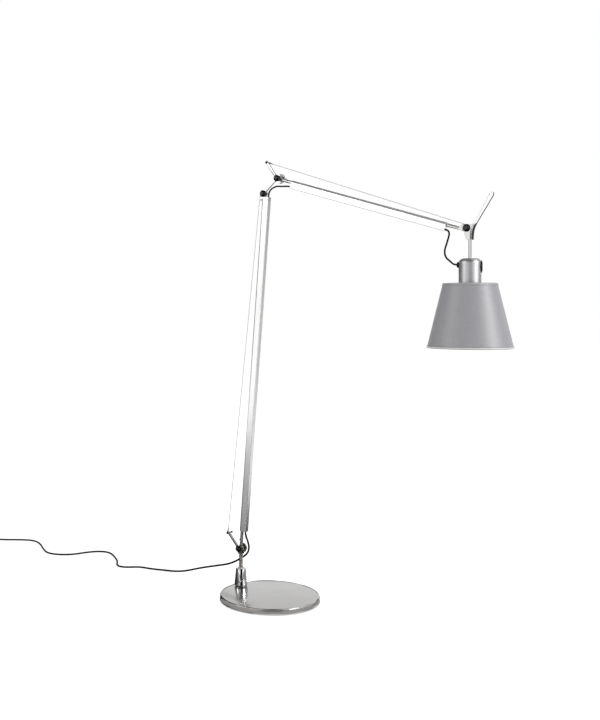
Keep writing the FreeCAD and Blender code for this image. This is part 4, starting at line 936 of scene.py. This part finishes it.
STRIP_X = 7.2
STRIP_FOOT = -23.5
STRIP_THICK = 1.8
STRIP_HALF = 5.5
PADDLE_HALF = 9.5
PADDLE_RUN = 70.0
PADDLE_ANGLE = 59.0
BEND_R = 49.8
BEND_UP = -16.0
FLARE_FROM = 6.0
# width and lift of the black piece that paints shade along the strip's edge
EDGE_BROAD = 10.8
EDGE_NARROW = 2.2
EDGE_PROUD = 0.5
# station of the strip up to which the black piece that paints shade on its edge is broad
EDGE_BROAD_TO = 14


def handle_line():
    """Middle line of the strip in mm, foot to round tip: (x, z, across-x, across-z, half width)."""
    turn = (90 - PADDLE_ANGLE) * PHI
    stations = [(STRIP_X, STRIP_FOOT + (BEND_UP - STRIP_FOOT) * k / 4, 1, 0, STRIP_HALF) for k in range(4)]
    for k in range(13):
        a = turn * k / 12
        stations.append((STRIP_X + BEND_R * (1 - math.cos(a)), BEND_UP + BEND_R * math.sin(a), math.cos(a),
                         -math.sin(a), STRIP_HALF))
    end = stations[-1]
    way = (math.sin(turn), math.cos(turn))
    runs = [FLARE_FROM * k / 3 for k in range(1, 3)]
    runs += [FLARE_FROM + (PADDLE_RUN - PADDLE_HALF - FLARE_FROM) * k / 16 for k in range(17)]
    runs += [PADDLE_RUN - PADDLE_HALF + PADDLE_HALF * math.sin(math.pi / 2 * k / 14) for k in range(1, 14)]
    for run in runs:
        flare = min(max((run - FLARE_FROM) / (PADDLE_RUN - PADDLE_HALF - FLARE_FROM), 0), 1)
        half = STRIP_HALF + (PADDLE_HALF - STRIP_HALF) * flare
        past = max(run - (PADDLE_RUN - PADDLE_HALF), 0)
        half *= math.sqrt(max(1 - (past / PADDLE_HALF) ** 2, 0))
        stations.append((end[0] + way[0] * run, end[1] + way[1] * run, way[1], -way[0], half))
    return stations


def make_painted_shade_edge():
    """Black piece on the strip's far side that paints the shade on its edge: broad on the bracket, then a thin
    bead round to the tip.
    """
    bm = bmesh.new()
    rows = []
    stations = handle_line()
    for k, (x, z, out_x, out_z, half) in enumerate(stations):
        past_bend = min(max((k - EDGE_BROAD_TO) / 3, 0), 1)
        width = min(EDGE_BROAD + (EDGE_NARROW - EDGE_BROAD) * past_bend, 2 * half + EDGE_PROUD / 2)
        section = [(half - width, STRIP_THICK - 0.5), (half + EDGE_PROUD, STRIP_THICK - 0.5),
                   (half + EDGE_PROUD, STRIP_THICK + EDGE_PROUD / 2), (half, STRIP_THICK + EDGE_PROUD),
                   (half - width, STRIP_THICK + EDGE_PROUD)]
        rows.append([bm.verts.new(HEAD_PIVOT + Vector((x + out_x * t, y, z + out_z * t)) * MM)
                     for y, t in section])
    skin(bm, rows)
    # a black piece as painted shade where the strip's edge lies in shade
    piece("painted_shade_edge", finished(bm, "painted_shade_edge"), SHEATH, "head")


def make_handle():
    """Flat strip that rises on the bracket, bends outwards and widens to a round end; its rim is eased."""
    bm = bmesh.new()
    ease = 0.25
    rows = []
    for x, z, out_x, out_z, half in handle_line():
        # section across the strip: two faces and an eased rim on both sides
        section = [(-half + ease, 0), (half - ease, 0), (half - 0.12, 0.12), (half, ease),
                   (half, STRIP_THICK - ease), (half - 0.12, STRIP_THICK - 0.12), (half - ease, STRIP_THICK),
                   (-half + ease, STRIP_THICK), (-half + 0.12, STRIP_THICK - 0.12),
                   (-half, STRIP_THICK - ease), (-half, ease), (-half + 0.12, 0.12)]
        rows.append([bm.verts.new(HEAD_PIVOT + Vector((x + out_x * t, y, z + out_z * t)) * MM)
                     for y, t in section])
    skin(bm, rows)
    strip = piece("finger_strip", finished(bm, "finger_strip"), STRIP, "head", "head_handle")
    # black piece that paints the shade on the strip's far edge
    make_painted_shade_edge()
    heads = []
    for z in (-21.4, -17.7):
        at = HEAD_PIVOT + Vector((STRIP_X + STRIP_THICK, 0, z)) * MM
        heads.append(turned("strip_screw", [(0, 0), (1.5, 0), (1.5, 0.5), (1.0, 1.0, 0.3), (0, 1.1)], at,
                            Vector((1, 0, 0)), 32))
    piece("strip_screws", joined("strip_screws", *heads), ZINC, "head")
    return strip


make_handle()


# ---- shade ----

SHADE_TOP_Z = -50.0
SHADE_BOTTOM_Z = -180.0
SHADE_TOP_R = 53.25
SHADE_BOTTOM_R = 84.5
SHADE_WALL = 1.0
TRIM_TALL = 6.0


def cone_sheet(name, z_top, z_bottom, r_top, r_bottom, thick, lip=0.0, segments=192, rows=8):
    """Conical sheet with a UV laid in metres round and up, slightly rounded at its rims."""
    bm = bmesh.new()
    uv = bm.loops.layers.uv.new("sheet")
    slope = math.hypot(r_bottom - r_top, z_top - z_bottom)
    section = []
    for k in range(rows + 1):
        share = k / rows
        swell = lip * math.sin(math.pi * share) ** 0.5 if 0 < share < 1 else 0.0
        section.append((r_top + (r_bottom - r_top) * share + swell, z_top + (z_bottom - z_top) * share,
                        share))
    for k in range(rows, -1, -1):
        share = k / rows
        section.append((r_top + (r_bottom - r_top) * share - thick, z_top + (z_bottom - z_top) * share,
                        share))
    rings = []
    for radius, z, share in section:
        rings.append([bm.verts.new(HOLDER_TOP + Vector((radius * math.cos(a), radius * math.sin(a), z)) * MM)
                      for a in (2 * math.pi * k / segments for k in range(segments))])
    middle = math.pi * (r_top + r_bottom)
    for i, ring in enumerate(rings):
        j = (i + 1) % len(rings)
        for k in range(segments):
            n = (k + 1) % segments
            face = bm.faces.new((ring[k], ring[n], rings[j][n], rings[j][k]))
            rounds = (k / segments, (k + 1) / segments, (k + 1) / segments, k / segments)
            shares = (section[i][2], section[i][2], section[j][2], section[j][2])
            for loop, around, share in zip(face.loops, rounds, shares):
                loop[uv].uv = (around * middle * MM, share * slope * MM)
    return finished(bm, name, 50)


def radius_at(z):
    """Outer radius of the shade at a height below the holder's top."""
    share = (SHADE_TOP_Z - z) / (SHADE_TOP_Z - SHADE_BOTTOM_Z)
    return SHADE_TOP_R + (SHADE_BOTTOM_R - SHADE_TOP_R) * share


def make_shade():
    cloth = cone_sheet("shade_cloth", SHADE_TOP_Z, SHADE_BOTTOM_Z, SHADE_TOP_R, SHADE_BOTTOM_R, 0.5)
    cover = piece("shade_cloth", cloth, CLOTH, "lamp_holder", "shade")
    # cut as a sector of a ring and glued round the frame
    inside = SHADE_WALL / 2
    liner = cone_sheet("shade_liner", SHADE_TOP_Z - 0.4, SHADE_BOTTOM_Z + 0.4, SHADE_TOP_R - inside,
                       SHADE_BOTTOM_R - inside, 0.5)
    piece("shade_liner", liner, LINER, "lamp_holder")
    # the cloth is turned over both rims in a narrow band
    for name, z in (("shade_trim_top", SHADE_TOP_Z + 0.3),
                    ("shade_trim_bottom", SHADE_BOTTOM_Z + TRIM_TALL - 0.3)):
        low_z = z - TRIM_TALL
        band = cone_sheet(name, z, low_z, radius_at(z) + 0.05, radius_at(low_z) + 0.05, 0.5, 0.45)
        piece(name, band, TRIM, "lamp_holder")
    make_seam()


SEAM_TURN = 150
SEAM_HALF = 3.0


def make_seam():
    """Glued overlap where the cloth's ends meet, a strip a thread thick down the shade."""
    bm = bmesh.new()
    rows = []
    for k in range(17):
        z = SHADE_TOP_Z - 1 + (SHADE_BOTTOM_Z - SHADE_TOP_Z + 2) * k / 16
        row = []
        for offset, lift in ((-SEAM_HALF, 0.0), (-SEAM_HALF + 0.4, 0.3), (0, 0.35), (SEAM_HALF, 0.35),
                             (SEAM_HALF, -0.1), (-SEAM_HALF, -0.1)):
            radius = radius_at(z) + lift
            a = SEAM_TURN * PHI + offset / radius_at(z)
            at = Vector((radius * math.cos(a), radius * math.sin(a), z)) * MM
            row.append(bm.verts.new(HOLDER_TOP + at))
        rows.append(row)
    skin(bm, rows)
    piece("shade_seam", finished(bm, "shade_seam"), TRIM, "lamp_holder")


make_shade()


# ---- bulb ----

def make_bulb():
    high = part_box("bulb_cap")[1]
    top = (high.z - HOLDER_TOP.z) / MM
    outline = [(0, top), (4.0, top, 0.4), (4.4, top - 1.2), (8.6, top - 3.2), (12.2, top - 4.6)]
    # the rolled screw thread, 3.6 mm from ridge to ridge
    for k in range(5):
        at = top - 5.4 - 3.6 * k
        outline += [(12.3, at), (13.1, at - 0.9), (13.1, at - 1.5), (12.3, at - 2.7)]
    outline += [(12.9, top - 24.0), (12.9, top - 25.0, 0.3), (0, top - 25.0)]
    cap = turned("bulb_screw_cap", outline, HOLDER_TOP, UP, 64)
    piece("bulb_screw_cap", cap, NICKEL, "lamp_holder", "bulb_cap")


make_bulb()


# ---- studio ----

# light of the floor's own for camera, gloss and glass rays, and the world's light on the object
FLOOR_GLOW = 0.62
AMBIENT = 0.46


def seen_directly(tree):
    """1 for camera, gloss and glass rays, 0 for the rays that carry light."""
    ray = add(tree, "ShaderNodeLightPath")
    seen = ray.outputs["Is Camera Ray"]
    for more in ("Is Glossy Ray", "Is Transmission Ray"):
        either = add(tree, "ShaderNodeMath", [(seen, 0), (ray.outputs[more], 1)], operation="MAXIMUM")
        seen = either.outputs[0]
    return seen


def white_to_camera(tree, lit, extra):
    """Adds light of its own to a surface for camera, gloss and glass rays only, so that it reads as white."""
    seen = seen_directly(tree)
    level = add(tree, "ShaderNodeMath", [(seen, 0)], operation="MULTIPLY")
    level.inputs[1].default_value = extra
    glow = add(tree, "ShaderNodeEmission", [(level.outputs[0], "Strength")], Color=(1, 1, 1, 1))
    both = add(tree, "ShaderNodeAddShader", [(lit, 0), (glow.outputs[0], 1)])
    return both.outputs[0]


def make_floor():
    bpy.ops.mesh.primitive_plane_add(size=60)
    floor = bpy.context.object
    floor.name = "floor"
    material = bpy.data.materials.new("white_paper_floor")
    material.use_nodes = True
    tree = material.node_tree
    tree.nodes.remove(tree.nodes["Principled BSDF"])
    paper = add(tree, "ShaderNodeBsdfDiffuse", Color=linear("#ececec"))
    white = white_to_camera(tree, paper.outputs[0], FLOOR_GLOW)
    tree.links.new(white, tree.nodes["Material Output"].inputs["Surface"])
    floor.data.materials.append(material)


def make_sky():
    world = bpy.data.worlds.new("studio")
    bpy.context.scene.world = world
    world.use_nodes = True
    tree = world.node_tree
    ambient = tree.nodes["Background"]
    ambient.inputs["Color"].default_value = (1, 1, 1, 1)
    ambient.inputs["Strength"].default_value = AMBIENT
    white = add(tree, "ShaderNodeBackground", Color=(1, 1, 1, 1), Strength=1.0)
    seen = seen_directly(tree)
    mix = add(tree, "ShaderNodeMixShader", [(seen, 0), (ambient.outputs[0], 1), (white.outputs[0], 2)])
    tree.links.new(mix.outputs[0], tree.nodes["World Output"].inputs["Surface"])


def soft_lamp(name, place, size, power):
    light = bpy.data.lights.new(name, "AREA")
    light.shape = "DISK"
    light.size = size
    light.energy = power
    lamp = bpy.data.objects.new(name, light)
    lamp.location = place
    lamp.rotation_euler = (Vector((0.1, 0, 0.5)) - Vector(place)).to_track_quat("-Z", "Y").to_euler()
    bpy.context.collection.objects.link(lamp)
    return lamp


# The cards are placed for the photograph's camera: in other views what they draw slides over the metal,
# and the exported model doesn't have them.
# azimuth and half width in degrees, distance, lower and upper edge, colour
UPRIGHT_CARDS = [
    (-50, 25, 1.25, 0.0, 0.5, "#060606"), (-50, 9, 2.4, 0.5, 2.2, "#3c3c3c"),
    (33, 13, 3.0, 0.9, 2.4, "#060606"), (50, 8, 4.4, 0.0, 3.4, "#a0a0a0"),
    (-156, 12, 2.6, 0.3, 2.2, "#1c1c1c"), (97, 13, 2.6, 0.4, 2.2, "#1c1c1c"),
    (164, 20, 3.0, 0.0, 2.4, "#0c0c0c"),
]
# azimuth and half width in degrees, inner and outer reach, height, colour
LEVEL_CARDS = [
    (-50, 25, 0.13, 1.3, 0.003, "#060606"), (-87, 12, 0.13, 1.3, 0.003, "#5a5a5a"),
    (-118, 5, 0.13, 1.3, 0.003, "#707070"), (-132, 9, 0.13, 3.0, 0.003, "#b4b4b4"),
    (-158, 17, 0.13, 3.0, 0.003, "#262626"), (165, 20, 0.13, 3.0, 0.003, "#0c0c0c"),
    (48, 11, 0.13, 4.4, 0.003, "#a0a0a0"), (12, 24, 0.13, 1.2, 0.003, "#7a7a7a"),
    (88, 20, 0.13, 1.2, 0.003, "#161616"), (130, 42, 0.5, 5.0, 3.0, "#6e6e6e"),
    (-150, 30, 0.0, 7.0, 3.0, "#a0a0a0"), (-90, 30, 0.0, 7.0, 3.0, "#a0a0a0"),
    (-35, 25, 0.0, 7.0, 3.0, "#5a5a5a"),
]
CARD_MIDDLE = Vector((0.1, 0.0, 0.0))
# cards that paint the reflection of the floor close round the foot, which its side mirrors
SKIRT = range(-125, 40, 30)
SKIRT_HALF = 15
SKIRT_NEAR = 0.119
SKIRT_FAR = 0.2
SKIRT_HEIGHT = 0.004
# cards that paint two dark reflected streaks under the foot's rim: azimuth and half width, inner and outer
# reach
STREAKS = [(-50, 14, 0.155, 0.172), (25, 10, 0.133, 0.153)]
STREAK_HEIGHT = 0.0045


def dark_card(name, corners, colour):
    """Flat staged mesh, hidden from camera, diffuse light and shadows, that darkens what metal mirrors."""
    bm = bmesh.new()
    bm.faces.new([bm.verts.new(corner) for corner in corners])
    mesh = bpy.data.meshes.new(name)
    bm.to_mesh(mesh)
    bm.free()
    card = bpy.data.objects.new(name, mesh)
    bpy.context.collection.objects.link(card)
    material = bpy.data.materials.new(name)
    material.use_nodes = True
    shader = material.node_tree.nodes["Principled BSDF"]
    shader.inputs["Base Color"].default_value = linear(colour)
    shader.inputs["Roughness"].default_value = 1.0
    mesh.materials.append(material)
    card.visible_camera = False
    card.visible_diffuse = False
    card.visible_shadow = False


def spot(azimuth, reach, z):
    return Vector((reach * math.cos(azimuth * PHI), reach * math.sin(azimuth * PHI), z))


def level_corners(middle, azimuth, half, near, far, z):
    """Corners of a level card, a slice of a ring round the middle."""
    left, right = azimuth - half, azimuth + half
    return [middle + spot(turn, reach, z) for turn, reach in (
        (left, near), (right, near), (right, far), (left, far))]


def make_dark_cards():
    for k, (azimuth, half, reach, z_low, z_high, colour) in enumerate(UPRIGHT_CARDS):
        left, right = azimuth - half, azimuth + half
        corners = [CARD_MIDDLE + spot(turn, reach, z) for turn, z in (
            (left, z_low), (right, z_low), (right, z_high), (left, z_high))]
        dark_card(f"upright_card_{k}", corners, colour)
    for k, (*place, colour) in enumerate(LEVEL_CARDS):
        dark_card(f"level_card_{k}", level_corners(CARD_MIDDLE, *place), colour)
    for azimuth in SKIRT:
        corners = level_corners(Vector(), azimuth, SKIRT_HALF, SKIRT_NEAR, SKIRT_FAR, SKIRT_HEIGHT)
        dark_card(f"skirt_card_{azimuth}", corners, "#efebe8")
    for k, place in enumerate(STREAKS):
        dark_card(f"streak_card_{k}", level_corners(Vector(), *place, STREAK_HEIGHT), "#060606")



make_floor()
make_sky()
soft_lamp("key_light", (9.6, 0.4, 4.2), 4.0, 520)
soft_lamp("fill_light", (-5.6, -7.6, 4.6), 5.0, 230)
make_dark_cards()
bpy.context.scene.view_settings.view_transform = "Standard"
